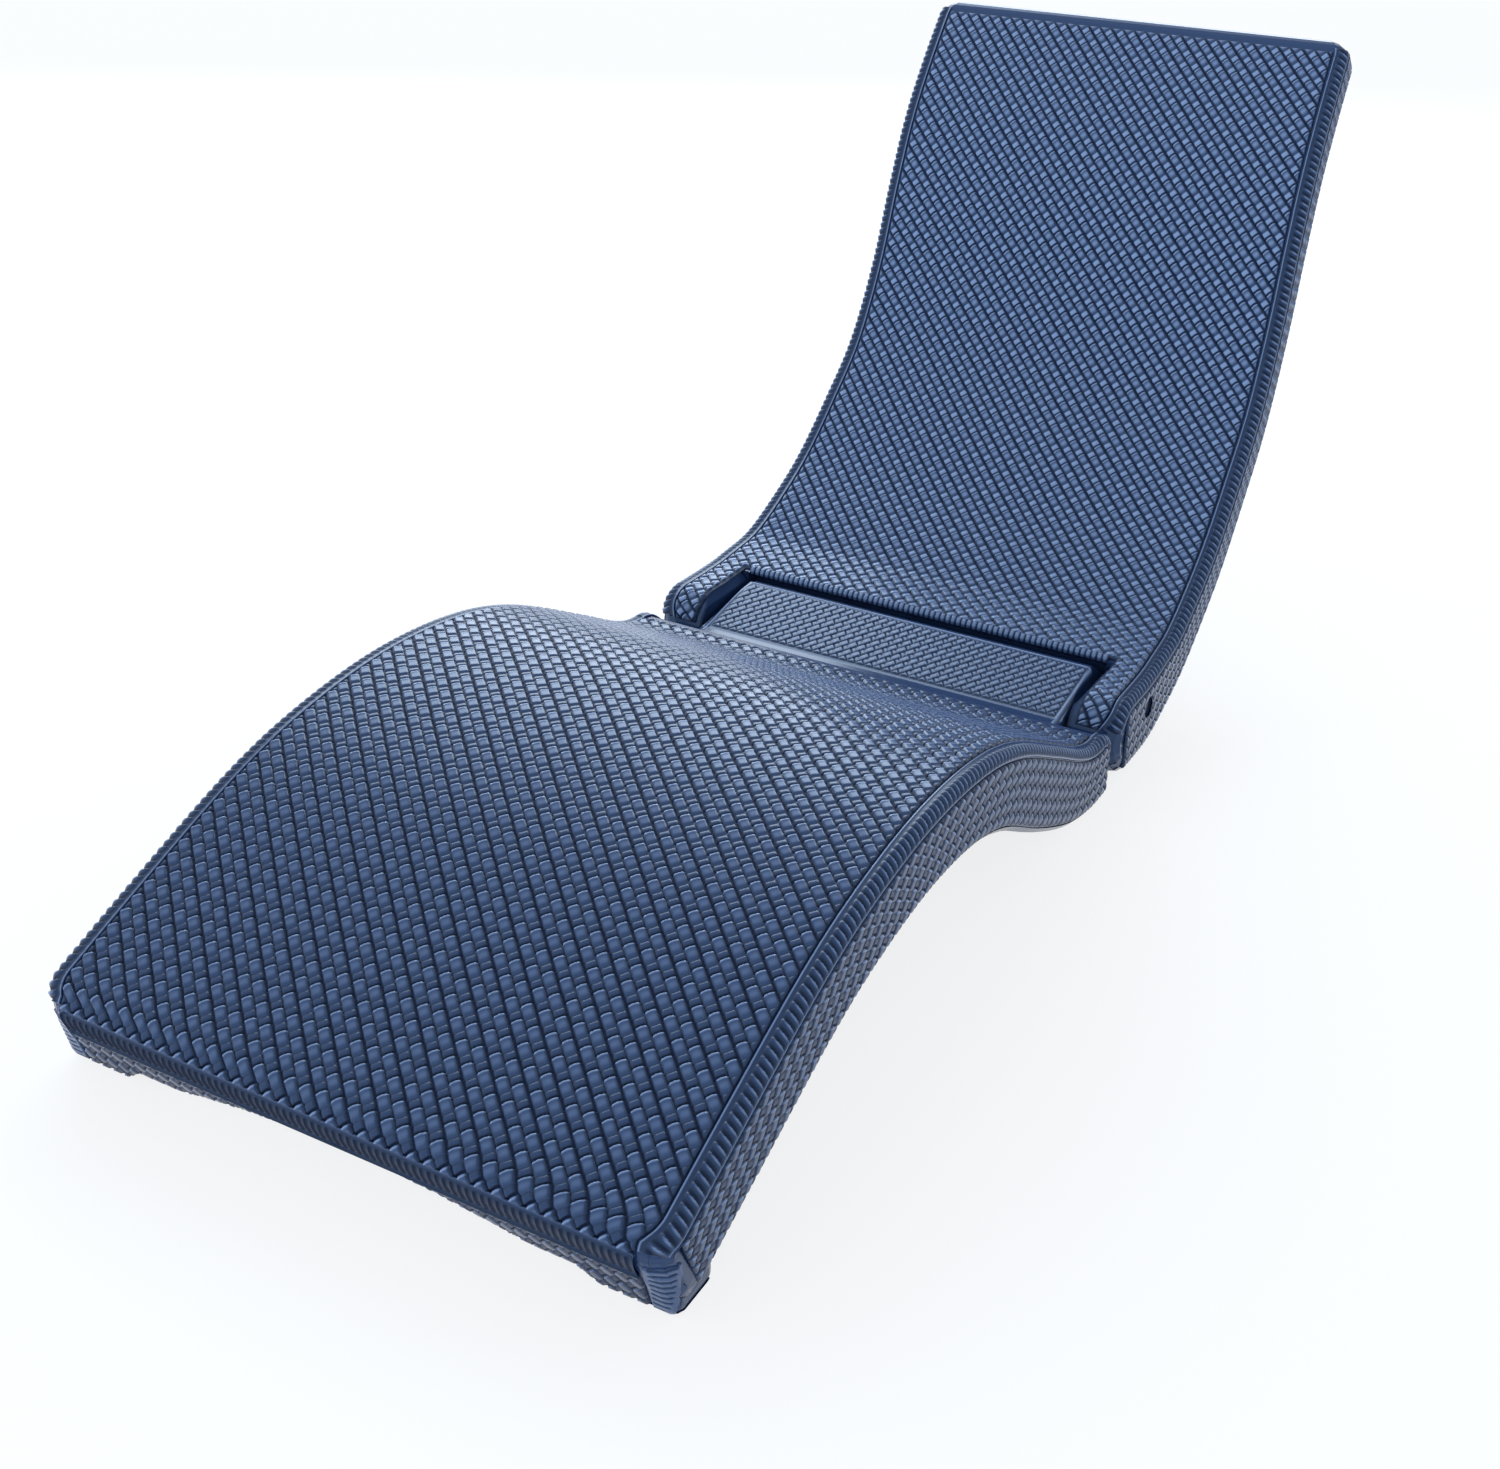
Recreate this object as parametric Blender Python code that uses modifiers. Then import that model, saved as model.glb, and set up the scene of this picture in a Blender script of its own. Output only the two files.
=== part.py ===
"""Folding pool chaise lounge: a wave-shaped seat and a curved back, two hollow plastic
mouldings joined by one steel rod through the ears of the back and the tongue of the seat.

Metres, +Z up. The foot end points to -Y, the back rises towards +Y, and X runs across.
The origin lies on the floor, half way along the open lounge and on its middle plane.
"""

import math

import bmesh
import bpy
from mathutils import Matrix, Vector

# Overall reach and height
SEAT_REACH = 1.0001
BACK_REACH = 0.6001
BACK_RISE = 0.6229
KNEE_RISE = 0.1342

# Widths: the lounge narrows a little from the foot end to the top of the back
FOOT_WIDTH = 0.5969
HINGE_WIDTH = 0.571
TOP_WIDTH = 0.531
FOOT_CORNER_RADIUS = 0.024
TOP_CORNER_RADIUS = 0.026
NOSE_CORNER_RADIUS = 0.020

# Double-walled mouldings
SEAT_THICKNESS = 0.078
EAR_THICKNESS = 0.087
WALL = 0.004
EDGE_RADIUS = 0.014
FOOT_END_RADIUS = 0.021
TOP_END_RADIUS = 0.017
FLOOR_FLAT = 0.001

# Shallow arch under the foot end, between the front feet
ARCH_HEIGHT = 0.041
ARCH_HALF_WIDTH = 0.207
ARCH_REACH = 0.160

# Front feet, moulded as lobes under the two corners of the foot end
FOOT_PAD_WIDTH = 0.066
FOOT_PAD_SLOPE_SHARE = 1.2
FOOT_PAD_HEIGHT = 0.060
FOOT_PAD_TOP = 0.012
FOOT_PAD_TOE = 0.0310
FOOT_PAD_TOE_HEIGHT = 0.044
FOOT_PAD_SILL = 0.0085
TOE_TURN_SHARE = 0.8
FOOT_PAD_REACH = 0.072
FOOT_PAD_SETBACK = 0.0020
FOOT_PAD_RADIUS = 0.011
FOOT_PAD_EDGE = 0.009

# Hinge between the tongue of the seat and the ears of the back
HINGE_HEIGHT = 0.052
EAR_REACH = 0.098
NOSE_GAP = 0.008
TONGUE_WIDTH = 0.450
TONGUE_TOP_WIDTH = 0.430
TONGUE_ROOT = 0.150
TONGUE_LENGTH = 0.100
TONGUE_START_HEIGHT = 0.062
TONGUE_UNDERSIDE = 0.009
TONGUE_EDGE = 0.004
KNUCKLE_RADIUS = 0.0305
KNUCKLE_HIGH = 100.0
KNUCKLE_LOW = -15.0
NOTCH_WIDTH = 0.456
NOTCH_EDGE = 0.010
NOTCH_RADIUS = 0.0385
NOTCH_HIGH = 69.0
NOTCH_LOW = -24.0
STOP_GAP = 0.0003
ROD_RADIUS = 0.005
ROD_CLEARANCE = 0.0003
BOSS_RADIUS = 0.0125
CAP_RADIUS = 0.0105
CAP_THICKNESS = 0.006
CAP_RECESS = 0.003
CAP_CLEARANCE = 0.0004
CAP_ROUNDING = 0.0015
CAP_SOCKET = 0.004
SEAT_GAP = 0.0003

# Fill plugs, one in each moulding
PLUG_RADIUS = 0.012
PLUG_CLEARANCE = 0.0006
PLUG_LENGTH = 0.016
PLUG_HEAD_RADIUS = 0.018
PLUG_HEAD_HEIGHT = 0.004
PLUG_ROUNDING = 0.001
PLUG_SLOT_WIDTH = 0.003
PLUG_SLOT_DEPTH = 0.002
PLUG_SLOT_LENGTH = 0.024
SEAL_WIDTH = 0.0042
SEAL_HEIGHT = 0.002
PLUG_BOSS_RADIUS = 0.0235
PLUG_BOSS_HEIGHT = 0.017
SEAT_PLUG_SHARE = 0.46
BACK_PLUG_SHARE = 0.60

# Middle line of the seat, from the foot end to the rear nose, as shares of the reach in
# front of the hinge, of the rise under the knees and of the thickness at the nose
SEAT_SPINE_SHARES = (
    (0.9904, -0.012, 1.02), (0.881, 0.352, 1.05), (0.765, 0.718, 1.05), (0.678, 0.898, 1.04),
    (0.579, 0.990, 1.03), (0.480, 0.946, 1.04), (0.3955, 0.770, 1.07), (0.3017, 0.418, 1.12),
    (0.2233, 0.137, 1.07), (0.168, 0.014, 1.01),
)
# Middle line of the back, from the hinge to the top, as shares of its reach and rise and
# of the thickness of the ears
BACK_SPINE_SHARES = (
    (0.000, 0.000, 1.00), (0.088, 0.012, 0.93), (0.190, 0.036, 0.83), (0.300, 0.091, 0.771),
    (0.400, 0.1545, 0.740), (0.5065, 0.249, 0.709), (0.614, 0.360, 0.683), (0.700, 0.511, 0.662),
    (0.760, 0.667, 0.647), (0.8165, 0.795, 0.631), (0.8875, 0.904, 0.616), (0.9766, 1.0177, 0.600),
)

# Fineness of the round stretches, and how far a cutter runs past what it cuts
SPINE_STEPS = 5
CORNER_STEPS = 5
EDGE_STEPS = 2
ROUND_SIDES = 40
ARCH_SIDES = 160
OVERRUN = 0.02

# Edges that turn more than this many degrees are shaded sharp
SHARP_TURN = 32.0

HINGE_Y = (SEAT_REACH - BACK_REACH) / 2
FOLD_AXIS = Vector((0, HINGE_Y, HINGE_HEIGHT))


def clear_scene():
    for item in list(bpy.data.objects):
        bpy.data.objects.remove(item, do_unlink=True)


def new_collection(name):
    group = bpy.data.collections.new(name)
    bpy.context.scene.collection.children.link(group)
    return group


def material(name, colour, roughness, metallic=0.0):
    made = bpy.data.materials.new(name)
    made.use_nodes = True
    shader = made.node_tree.nodes["Principled BSDF"]
    shader.inputs["Base Color"].default_value = (*colour, 1)
    shader.inputs["Roughness"].default_value = roughness
    shader.inputs["Metallic"].default_value = metallic
    return made


def half_width(y):
    """Half the width of the lounge at a place along its length."""
    foot_y = HINGE_Y - SEAT_REACH
    if y < HINGE_Y:
        share = max(y - foot_y - FOOT_CORNER_RADIUS, 0) / (SEAT_REACH - FOOT_CORNER_RADIUS)
        return (FOOT_WIDTH + (HINGE_WIDTH - FOOT_WIDTH) * share) / 2
    share = (y - HINGE_Y) / BACK_REACH
    return (HINGE_WIDTH + (TOP_WIDTH - HINGE_WIDTH) * share) / 2


def corner_loss(distance, radius):
    """How far a round corner in plan draws a side in, at a distance from the end."""
    if distance >= radius:
        return 0.0
    return radius - math.sqrt(max(radius**2 - (radius - max(distance, 0))**2, 0))


def seat_half_width(place):
    """Half the seat's width, its corners rounded at the foot end and at the rear nose."""
    foot = place.x - (HINGE_Y - SEAT_REACH)
    nose = HINGE_Y - EAR_REACH - NOSE_GAP - place.x
    loss = corner_loss(foot, FOOT_CORNER_RADIUS) + corner_loss(nose, NOSE_CORNER_RADIUS)
    return half_width(place.x) - loss


def foot_pad_half_width(place):
    """Half the width over both front feet, set back a little from the seat's sides."""
    return seat_half_width(place) - FOOT_PAD_SETBACK


def back_half_width(place):
    """Half the back's width, its corners rounded at the ears' noses and at the top."""
    line = back_spine()
    nose = place.x - line[0].x
    top = (line[-1] - place.to_3d()).xy.dot(tangent_at(line, len(line) - 1))
    loss = corner_loss(nose, NOSE_CORNER_RADIUS)
    if place.y > BACK_RISE / 2:
        loss += corner_loss(top, TOP_CORNER_RADIUS)
    return half_width(place.x) - loss


def tongue_half_width(place):
    """Half the tongue's width, its sides leaning in above the start of its top."""
    top = HINGE_HEIGHT + KNUCKLE_RADIUS
    share = (place.y - TONGUE_START_HEIGHT) / (top - TONGUE_START_HEIGHT)
    share = min(max(share, 0), 1)
    return (TONGUE_WIDTH + (TONGUE_TOP_WIDTH - TONGUE_WIDTH) * share) / 2


def smooth_line(points):
    """A Catmull-Rom curve through hand-placed points."""
    ends = [points[0] * 2 - points[1], *points, points[-1] * 2 - points[-2]]
    line = []
    for a, b, c, d in zip(ends, ends[1:], ends[2:], ends[3:]):
        for step in range(SPINE_STEPS):
            t = step / SPINE_STEPS
            line.append(
                0.5 * ((2 * b) + (c - a) * t + (2 * a - 5 * b + 4 * c - d) * t**2
                       + (3 * b - a - 3 * c + d) * t**3)
            )
    line.append(points[-1])
    return line


def seat_spine():
    """Middle line of the seat: Y, Z and thickness, the last stretch level at the nose."""
    low = SEAT_THICKNESS / 2 - FLOOR_FLAT
    points = [
        Vector((HINGE_Y - ahead * SEAT_REACH, low + rise * KNEE_RISE, thick * SEAT_THICKNESS))
        for ahead, rise, thick in SEAT_SPINE_SHARES
    ]
    nose = HINGE_Y - EAR_REACH - NOSE_GAP
    return smooth_line([*points, Vector((nose, low, SEAT_THICKNESS))])


def back_spine():
    """Middle line of the back: Y, Z and thickness, level at first where the ears are."""
    low = EAR_THICKNESS / 2 - FLOOR_FLAT
    points = [
        Vector((HINGE_Y + ahead * BACK_REACH, low + rise * BACK_RISE, thick * EAR_THICKNESS))
        for ahead, rise, thick in BACK_SPINE_SHARES
    ]
    return smooth_line([Vector((HINGE_Y - EAR_REACH, low, EAR_THICKNESS)), *points])


def distances(line):
    """Distance along a line at each of its points."""
    total = [0.0]
    for a, b in zip(line, line[1:]):
        total.append(total[-1] + (b - a).xy.length)
    return total


def tangent_at(line, k):
    ahead = line[min(k + 1, len(line) - 1)]
    behind = line[max(k - 1, 0)]
    return (ahead - behind).xy.normalized()


def corner(centre, radius, start, turn):
    """Points of a round corner, from one direction through an angle."""
    return [
        centre + radius * Vector((math.cos(start + turn * k / CORNER_STEPS),
                                  math.sin(start + turn * k / CORNER_STEPS)))
        for k in range(CORNER_STEPS + 1)
    ]


def end_cap(tip, direction, half, radius):
    """Round-cornered end of a slab, from its left side to its right side, seen along it."""
    side = Vector((-direction.y, direction.x))
    angle = math.atan2(direction.y, direction.x)
    quarter = math.pi / 2
    back = tip - direction * radius
    left = corner(back + side * (half - radius), radius, angle + quarter, -quarter)
    right = corner(back - side * (half - radius), radius, angle, -quarter)
    return left + right


def slab_outline(line, radii, inset):
    """Outline of a slab that follows a middle line, drawn in by inset on every side."""
    run = distances(line)
    near, far = (radius - inset for radius in radii)
    upper, lower = [], []
    for k, point in enumerate(line):
        if run[k] < inset + near or run[k] > run[-1] - inset - far:
            continue
        tangent = tangent_at(line, k)
        side = Vector((-tangent.y, tangent.x)) * (point.z / 2 - inset)
        upper.append(point.xy + side)
        lower.append(point.xy - side)
    ahead = (line[-1] - line[-2]).xy.normalized()
    behind = (line[0] - line[1]).xy.normalized()
    last = end_cap(line[-1].xy - ahead * inset, ahead, line[-1].z / 2 - inset, far)
    first = end_cap(line[0].xy - behind * inset, behind, line[0].z / 2 - inset, near)
    return upper + last + lower[::-1] + first


def seat_outline(inset):
    return slab_outline(seat_spine(), (FOOT_END_RADIUS, SEAT_THICKNESS / 2), inset)


def back_outline(inset):
    return slab_outline(back_spine(), (EAR_THICKNESS / 2, TOP_END_RADIUS), inset)


def drawn_in(outline, inset):
    """A convex outline moved inwards along its corners' bisectors."""
    moved = []
    for before, here, after in zip(outline[-1:] + outline[:-1], outline, outline[1:] + outline[:1]):
        a = (here - before).normalized()
        b = (after - here).normalized()
        normal_a = Vector((a.y, -a.x))
        normal_b = Vector((b.y, -b.x))
        moved.append(here + (normal_a + normal_b) * inset / (1 + normal_a.dot(normal_b)))
    return moved


def hinge_arc(radius, high, low):
    """Points of an arc round the fold axis, clockwise from its upper end, in the (Y, Z) plane."""
    centre = Vector((HINGE_Y, HINGE_HEIGHT))
    return corner(centre, radius, math.radians(high), math.radians(low - high))


def notch_wall_y():
    """The upright lower wall of the notch, which the tongue rests against when open."""
    return HINGE_Y + NOTCH_RADIUS * math.cos(math.radians(NOTCH_LOW))


def tongue_outline(inset):
    """Side outline of the tongue: a sloping top, a knuckle round the rod and a stop heel."""
    stop_y = notch_wall_y() - STOP_GAP
    root_y = HINGE_Y - TONGUE_ROOT
    knuckle = hinge_arc(KNUCKLE_RADIUS, KNUCKLE_HIGH, KNUCKLE_LOW)
    points = [
        Vector((root_y, TONGUE_START_HEIGHT)),
        Vector((HINGE_Y - TONGUE_LENGTH, TONGUE_START_HEIGHT)),
        *knuckle,
        Vector((stop_y, knuckle[-1].y - TONGUE_EDGE)),
        Vector((stop_y, TONGUE_UNDERSIDE + TONGUE_EDGE)),
        Vector((stop_y - TONGUE_EDGE, TONGUE_UNDERSIDE)),
        Vector((root_y, TONGUE_UNDERSIDE)),
    ]
    if inset > TONGUE_EDGE:
        points[-3:-1] = [Vector((stop_y, TONGUE_UNDERSIDE))]
    return drawn_in(points, inset)


def foot_pad_outline(inset):
    """Side outline of a front foot: a lobe, sloping in front, its top lost in the slab above."""
    front = HINGE_Y - SEAT_REACH
    rear = front + FOOT_PAD_REACH
    low = FOOT_PAD_RADIUS - FLOOR_FLAT
    toe = Vector((front + FOOT_PAD_TOE, low))
    heel = Vector((rear - FOOT_PAD_RADIUS, low))
    down = -math.pi / 2
    points = [
        Vector((front + FOOT_PAD_TOP, FOOT_PAD_HEIGHT)),
        Vector((rear, FOOT_PAD_HEIGHT)),
        *corner(heel, FOOT_PAD_RADIUS, 0, down),
        *corner(toe, FOOT_PAD_RADIUS, down, down * TOE_TURN_SHARE),
        Vector((front + FOOT_PAD_SILL, FOOT_PAD_TOE_HEIGHT)),
    ]
    return drawn_in(points, inset)


def shaded(mesh):
    """Smooth shading, with the true edges kept sharp."""
    mesh.shade_smooth()
    mesh.set_sharp_from_angle(angle=math.radians(SHARP_TURN))


def extruded(name, outline_of, half, edge, inset, group, width_of=None):
    """A side outline run across X from a filled curve, its long edges rounded."""
    curve = bpy.data.curves.new(name, "CURVE")
    curve.dimensions = "2D"
    curve.fill_mode = "BOTH"
    curve.extrude = half - inset - edge
    curve.bevel_depth = edge
    curve.bevel_resolution = EDGE_STEPS
    points = outline_of(inset + edge)
    spline = curve.splines.new("POLY")
    spline.points.add(len(points) - 1)
    spline.use_cyclic_u = True
    for target, point in zip(spline.points, points):
        target.co = (point.x, point.y, 0, 1)
    drawn = bpy.data.objects.new(name + "_curve", curve)
    group.objects.link(drawn)
    drawn.rotation_euler = (math.pi / 2, 0, math.pi / 2)
    bpy.context.view_layer.update()
    evaluated = drawn.evaluated_get(bpy.context.evaluated_depsgraph_get())
    mesh = bpy.data.meshes.new_from_object(evaluated)
    mesh.transform(drawn.matrix_world)
    bpy.data.objects.remove(drawn, do_unlink=True)
    shape = bmesh.new()
    shape.from_mesh(mesh)
    bmesh.ops.remove_doubles(shape, verts=shape.verts, dist=SEAT_GAP / 10)
    bmesh.ops.recalc_face_normals(shape, faces=shape.faces)
    if width_of:
        for vertex in shape.verts:
            wide = width_of(vertex.co.yz) - inset
            vertex.co.x *= wide / (half - inset)
    shape.to_mesh(mesh)
    shape.free()
    shaded(mesh)
    made = bpy.data.objects.new(name, mesh)
    group.objects.link(made)
    return made


def cylinder(name, radius, start, end, group, sides=ROUND_SIDES):
    """A round bar between two points."""
    shape = bmesh.new()
    axis = end - start
    bmesh.ops.create_cone(shape, cap_ends=True, segments=sides, radius1=radius,
                          radius2=radius, depth=axis.length)
    turn = axis.to_track_quat("Z", "Y").to_matrix().to_4x4()
    bmesh.ops.transform(shape, matrix=Matrix.Translation((start + end) / 2) @ turn, verts=shape.verts)
    mesh = bpy.data.meshes.new(name)
    shape.to_mesh(mesh)
    shape.free()
    shaded(mesh)
    made = bpy.data.objects.new(name, mesh)
    group.objects.link(made)
    return made


def block(name, low, high, group):
    """A box between two corners."""
    shape = bmesh.new()
    bmesh.ops.create_cube(shape, size=1)
    size = high - low
    bmesh.ops.scale(shape, vec=size, verts=shape.verts)
    bmesh.ops.translate(shape, vec=(low + high) / 2, verts=shape.verts)
    mesh = bpy.data.meshes.new(name)
    shape.to_mesh(mesh)
    shape.free()
    made = bpy.data.objects.new(name, mesh)
    group.objects.link(made)
    return made


def hide(cutter):
    cutter.hide_render = True
    cutter.display_type = "WIRE"


def combine(target, tool, operation):
    """Adds a Boolean with another mesh, which is kept as a hidden guide."""
    hide(tool)
    step = target.modifiers.new(operation.lower() + " " + tool.name, "BOOLEAN")
    step.operation = operation
    step.object = tool
    step.solver = "EXACT"


def floor_cutter(group):
    reach = SEAT_REACH + BACK_REACH
    low = Vector((-FOOT_WIDTH, -reach, -OVERRUN))
    return block("floor_cutter", low, Vector((FOOT_WIDTH, reach, 0)), group)


def hinge_bar(name, radius, half, group):
    side = Vector((half, 0, 0))
    return cylinder(name, radius, FOLD_AXIS - side, FOLD_AXIS + side, group)


def plug_place(line, share):
    """Point on the hidden face of a slab, and the outward direction there."""
    run = distances(line)
    k = min(range(1, len(line) - 1), key=lambda i: abs(run[i] / run[-1] - share))
    tangent = tangent_at(line, k)
    outward = Vector((tangent.y, -tangent.x))
    point = line[k].xy + outward * line[k].z / 2
    return Vector((0, point.x, point.y)), Vector((0, outward.x, outward.y))


def seat_plug_place():
    return plug_place(seat_spine(), SEAT_PLUG_SHARE)


def back_plug_place():
    return plug_place(back_spine(), BACK_PLUG_SHARE)


def plug_recess():
    return PLUG_HEAD_HEIGHT + SEAL_HEIGHT + 2 * SEAT_GAP


def cut_plug_hole(shell, core, place, group):
    """Leaves a thick neck in the cavity, then bores the recess and the filling hole."""
    point, outward = place
    deep = point - outward * (plug_recess() + PLUG_BOSS_HEIGHT)
    past = point + outward * OVERRUN
    neck = cylinder(shell.name + "_plug_neck", PLUG_BOSS_RADIUS, deep, past, group)
    combine(core, neck, "DIFFERENCE")
    floor = point - outward * plug_recess()
    recess_radius = PLUG_HEAD_RADIUS + PLUG_CLEARANCE
    recess = cylinder(shell.name + "_plug_recess", recess_radius, floor, past, group)
    hole_radius = PLUG_RADIUS + PLUG_CLEARANCE
    bottom = deep - outward * OVERRUN
    hole = cylinder(shell.name + "_plug_hole", hole_radius, bottom, past, group)
    return [recess, hole]


def arch(name, margin, group):
    """A wide round bar along the lounge, which hollows the foot end between its feet."""
    radius = (ARCH_HALF_WIDTH**2 + ARCH_HEIGHT**2) / (2 * ARCH_HEIGHT)
    front = HINGE_Y - SEAT_REACH - OVERRUN
    start = Vector((0, front, ARCH_HEIGHT - radius))
    end = Vector((0, front + ARCH_REACH, ARCH_HEIGHT - radius))
    return cylinder(name, radius + margin, start, end, group, ARCH_SIDES)


def foot_pads(name, inset, group):
    """Two front feet in one shape: a bar under the foot end with its middle cut away."""
    half = FOOT_WIDTH / 2
    edge = FOOT_PAD_EDGE - inset
    pads = extruded(name, foot_pad_outline, half, edge, inset, group, foot_pad_half_width)
    inner = half - FOOT_PAD_WIDTH + inset
    high = FOOT_PAD_HEIGHT + OVERRUN
    front = HINGE_Y - SEAT_REACH
    shape = bmesh.new()
    bmesh.ops.create_cube(shape, size=1)
    bmesh.ops.scale(shape, vec=(2, FOOT_PAD_REACH * 3, high + OVERRUN), verts=shape.verts)
    bmesh.ops.translate(shape, vec=(0, front, (high - OVERRUN) / 2), verts=shape.verts)
    for vertex in shape.verts:
        vertex.co.x *= inner - vertex.co.z * FOOT_PAD_SLOPE_SHARE
    mesh = bpy.data.meshes.new(name + "_gap")
    shape.to_mesh(mesh)
    shape.free()
    gap = bpy.data.objects.new(name + "_gap", mesh)
    group.objects.link(gap)
    combine(pads, gap, "DIFFERENCE")
    return pads


def seat_shell(parts, cutters, plastic):
    """Wave-shaped seat moulding with its tongue and two front feet, hollow all through."""
    half = FOOT_WIDTH / 2
    tongue_half = TONGUE_WIDTH / 2
    edge = TONGUE_EDGE / 2
    shell = extruded("seat_shell", seat_outline, half, EDGE_RADIUS, 0, parts, seat_half_width)
    tongue = extruded("seat_tongue", tongue_outline, tongue_half, edge, 0, cutters, tongue_half_width)
    combine(shell, tongue, "UNION")
    combine(shell, arch("arch", 0, cutters), "DIFFERENCE")
    combine(shell, foot_pads("foot_pads", 0, cutters), "UNION")
    core = extruded("seat_core", seat_outline, half, EDGE_RADIUS - WALL, WALL, cutters, seat_half_width)
    inner = extruded("tongue_core", tongue_outline, tongue_half, edge, WALL, cutters, tongue_half_width)
    combine(core, inner, "UNION")
    combine(core, arch("arch_wall", WALL, cutters), "DIFFERENCE")
    combine(core, foot_pads("foot_pads_core", WALL, cutters), "UNION")
    combine(core, hinge_bar("seat_rod_boss", BOSS_RADIUS, half, cutters), "DIFFERENCE")
    plug_cutters = cut_plug_hole(shell, core, seat_plug_place(), cutters)
    combine(shell, core, "DIFFERENCE")
    combine(shell, floor_cutter(cutters), "DIFFERENCE")
    bore = hinge_bar("seat_rod_bore", ROD_RADIUS + ROD_CLEARANCE, half, cutters)
    for cutter in (bore, *plug_cutters):
        combine(shell, cutter, "DIFFERENCE")
    shell.data.materials.append(plastic)
    return shell


def notch_outline(inset):
    """Side outline of the notch: open above and below, its rear wall round the fold axis."""
    arc = hinge_arc(NOTCH_RADIUS, NOTCH_HIGH, NOTCH_LOW)
    front = HINGE_Y - EAR_REACH - OVERRUN
    points = [
        Vector((front, EAR_THICKNESS * 2)),
        Vector((arc[0].x, EAR_THICKNESS * 2)),
        *arc,
        Vector((notch_wall_y(), -OVERRUN)),
        Vector((front, -OVERRUN)),
    ]
    return drawn_in(points, inset)


def notch_block(name, margin, group):
    """The room for the tongue between the ears, grown by a margin."""
    return extruded(name, notch_outline, NOTCH_WIDTH / 2, 0, -margin, group)


def notch_flare(name, margin, group):
    """Wedges that break the upper inner edges of the ears."""
    half = NOTCH_WIDTH / 2 + margin
    top = EAR_THICKNESS - FLOOR_FLAT - margin
    front = HINGE_Y - EAR_REACH - OVERRUN
    rear = HINGE_Y + NOTCH_RADIUS * math.cos(math.radians(NOTCH_HIGH)) + margin
    rise = OVERRUN
    profile = ((half, top - NOTCH_EDGE), (half + NOTCH_EDGE + rise, top + rise))
    shape = bmesh.new()
    corners = [(-profile[1][0], profile[1][1]), (-profile[0][0], profile[0][1]), *profile]
    near = [shape.verts.new((x, front, z)) for x, z in corners]
    face = shape.faces.new(near)
    grown = bmesh.ops.extrude_face_region(shape, geom=[face])
    moved = [item for item in grown["geom"] if isinstance(item, bmesh.types.BMVert)]
    bmesh.ops.translate(shape, vec=(0, rear - front, 0), verts=moved)
    bmesh.ops.recalc_face_normals(shape, faces=shape.faces)
    mesh = bpy.data.meshes.new(name)
    shape.to_mesh(mesh)
    shape.free()
    flare = bpy.data.objects.new(name, mesh)
    group.objects.link(flare)
    return flare


def back_shell(parts, cutters, plastic):
    """Curved back moulding: two ears on the rod, a notch for the tongue, hollow inside."""
    half = HINGE_WIDTH / 2
    shell = extruded("back_shell", back_outline, half, EDGE_RADIUS, 0, parts, back_half_width)
    combine(shell, notch_block("notch", 0, cutters), "DIFFERENCE")
    combine(shell, notch_flare("notch_flare", 0, cutters), "DIFFERENCE")
    core = extruded("back_core", back_outline, half, EDGE_RADIUS - WALL, WALL, cutters, back_half_width)
    combine(core, notch_block("notch_wall", WALL, cutters), "DIFFERENCE")
    combine(core, notch_flare("notch_flare_wall", WALL, cutters), "DIFFERENCE")
    across = half + OVERRUN
    combine(core, hinge_bar("back_rod_boss", BOSS_RADIUS, across, cutters), "DIFFERENCE")
    plug_cutters = cut_plug_hole(shell, core, back_plug_place(), cutters)
    combine(shell, core, "DIFFERENCE")
    combine(shell, floor_cutter(cutters), "DIFFERENCE")
    bore = hinge_bar("back_rod_bore", ROD_RADIUS + ROD_CLEARANCE, across, cutters)
    recesses = []
    for side in (-1, 1):
        floor = FOLD_AXIS + Vector((side * (HINGE_WIDTH / 2 - cap_depth()), 0, 0))
        past = FOLD_AXIS + Vector((side * (HINGE_WIDTH / 2 + OVERRUN), 0, 0))
        recesses.append(cylinder("cap_recess", CAP_RADIUS + CAP_CLEARANCE, floor, past, cutters))
    for cutter in (bore, *recesses, *plug_cutters):
        combine(shell, cutter, "DIFFERENCE")
    shell.data.materials.append(plastic)
    return shell


def cap_depth():
    """Depth of the round recess in an ear, from its outer face."""
    return CAP_RECESS + CAP_THICKNESS + SEAT_GAP


def turned(name, profile, place, direction, group, finish):
    """A solid of revolution about its own Z axis, set along a direction."""
    mesh = bpy.data.meshes.new(name)
    edges = [(k, k + 1) for k in range(len(profile) - 1)]
    mesh.from_pydata([(radius, 0, height) for radius, height in profile], edges, [])
    made = bpy.data.objects.new(name, mesh)
    group.objects.link(made)
    screw = made.modifiers.new("turn", "SCREW")
    screw.steps = ROUND_SIDES
    screw.render_steps = ROUND_SIDES
    screw.use_merge_vertices = True
    screw.merge_threshold = SEAT_GAP / 10
    made.location = place
    made.rotation_mode = "QUATERNION"
    made.rotation_quaternion = direction.to_track_quat("Z", "Y")
    mesh.materials.append(finish)
    return made


def hinge_rod(parts, steel):
    """Steel rod through both ears and the tongue, its ends in the caps."""
    half = HINGE_WIDTH / 2 - cap_depth() + CAP_SOCKET - SEAT_GAP
    rod = hinge_bar("hinge_rod", ROD_RADIUS, half, parts)
    rod.data.transform(Matrix.Translation(-FOLD_AXIS))
    rod.location = FOLD_AXIS
    rod.data.materials.append(steel)
    return rod


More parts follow.
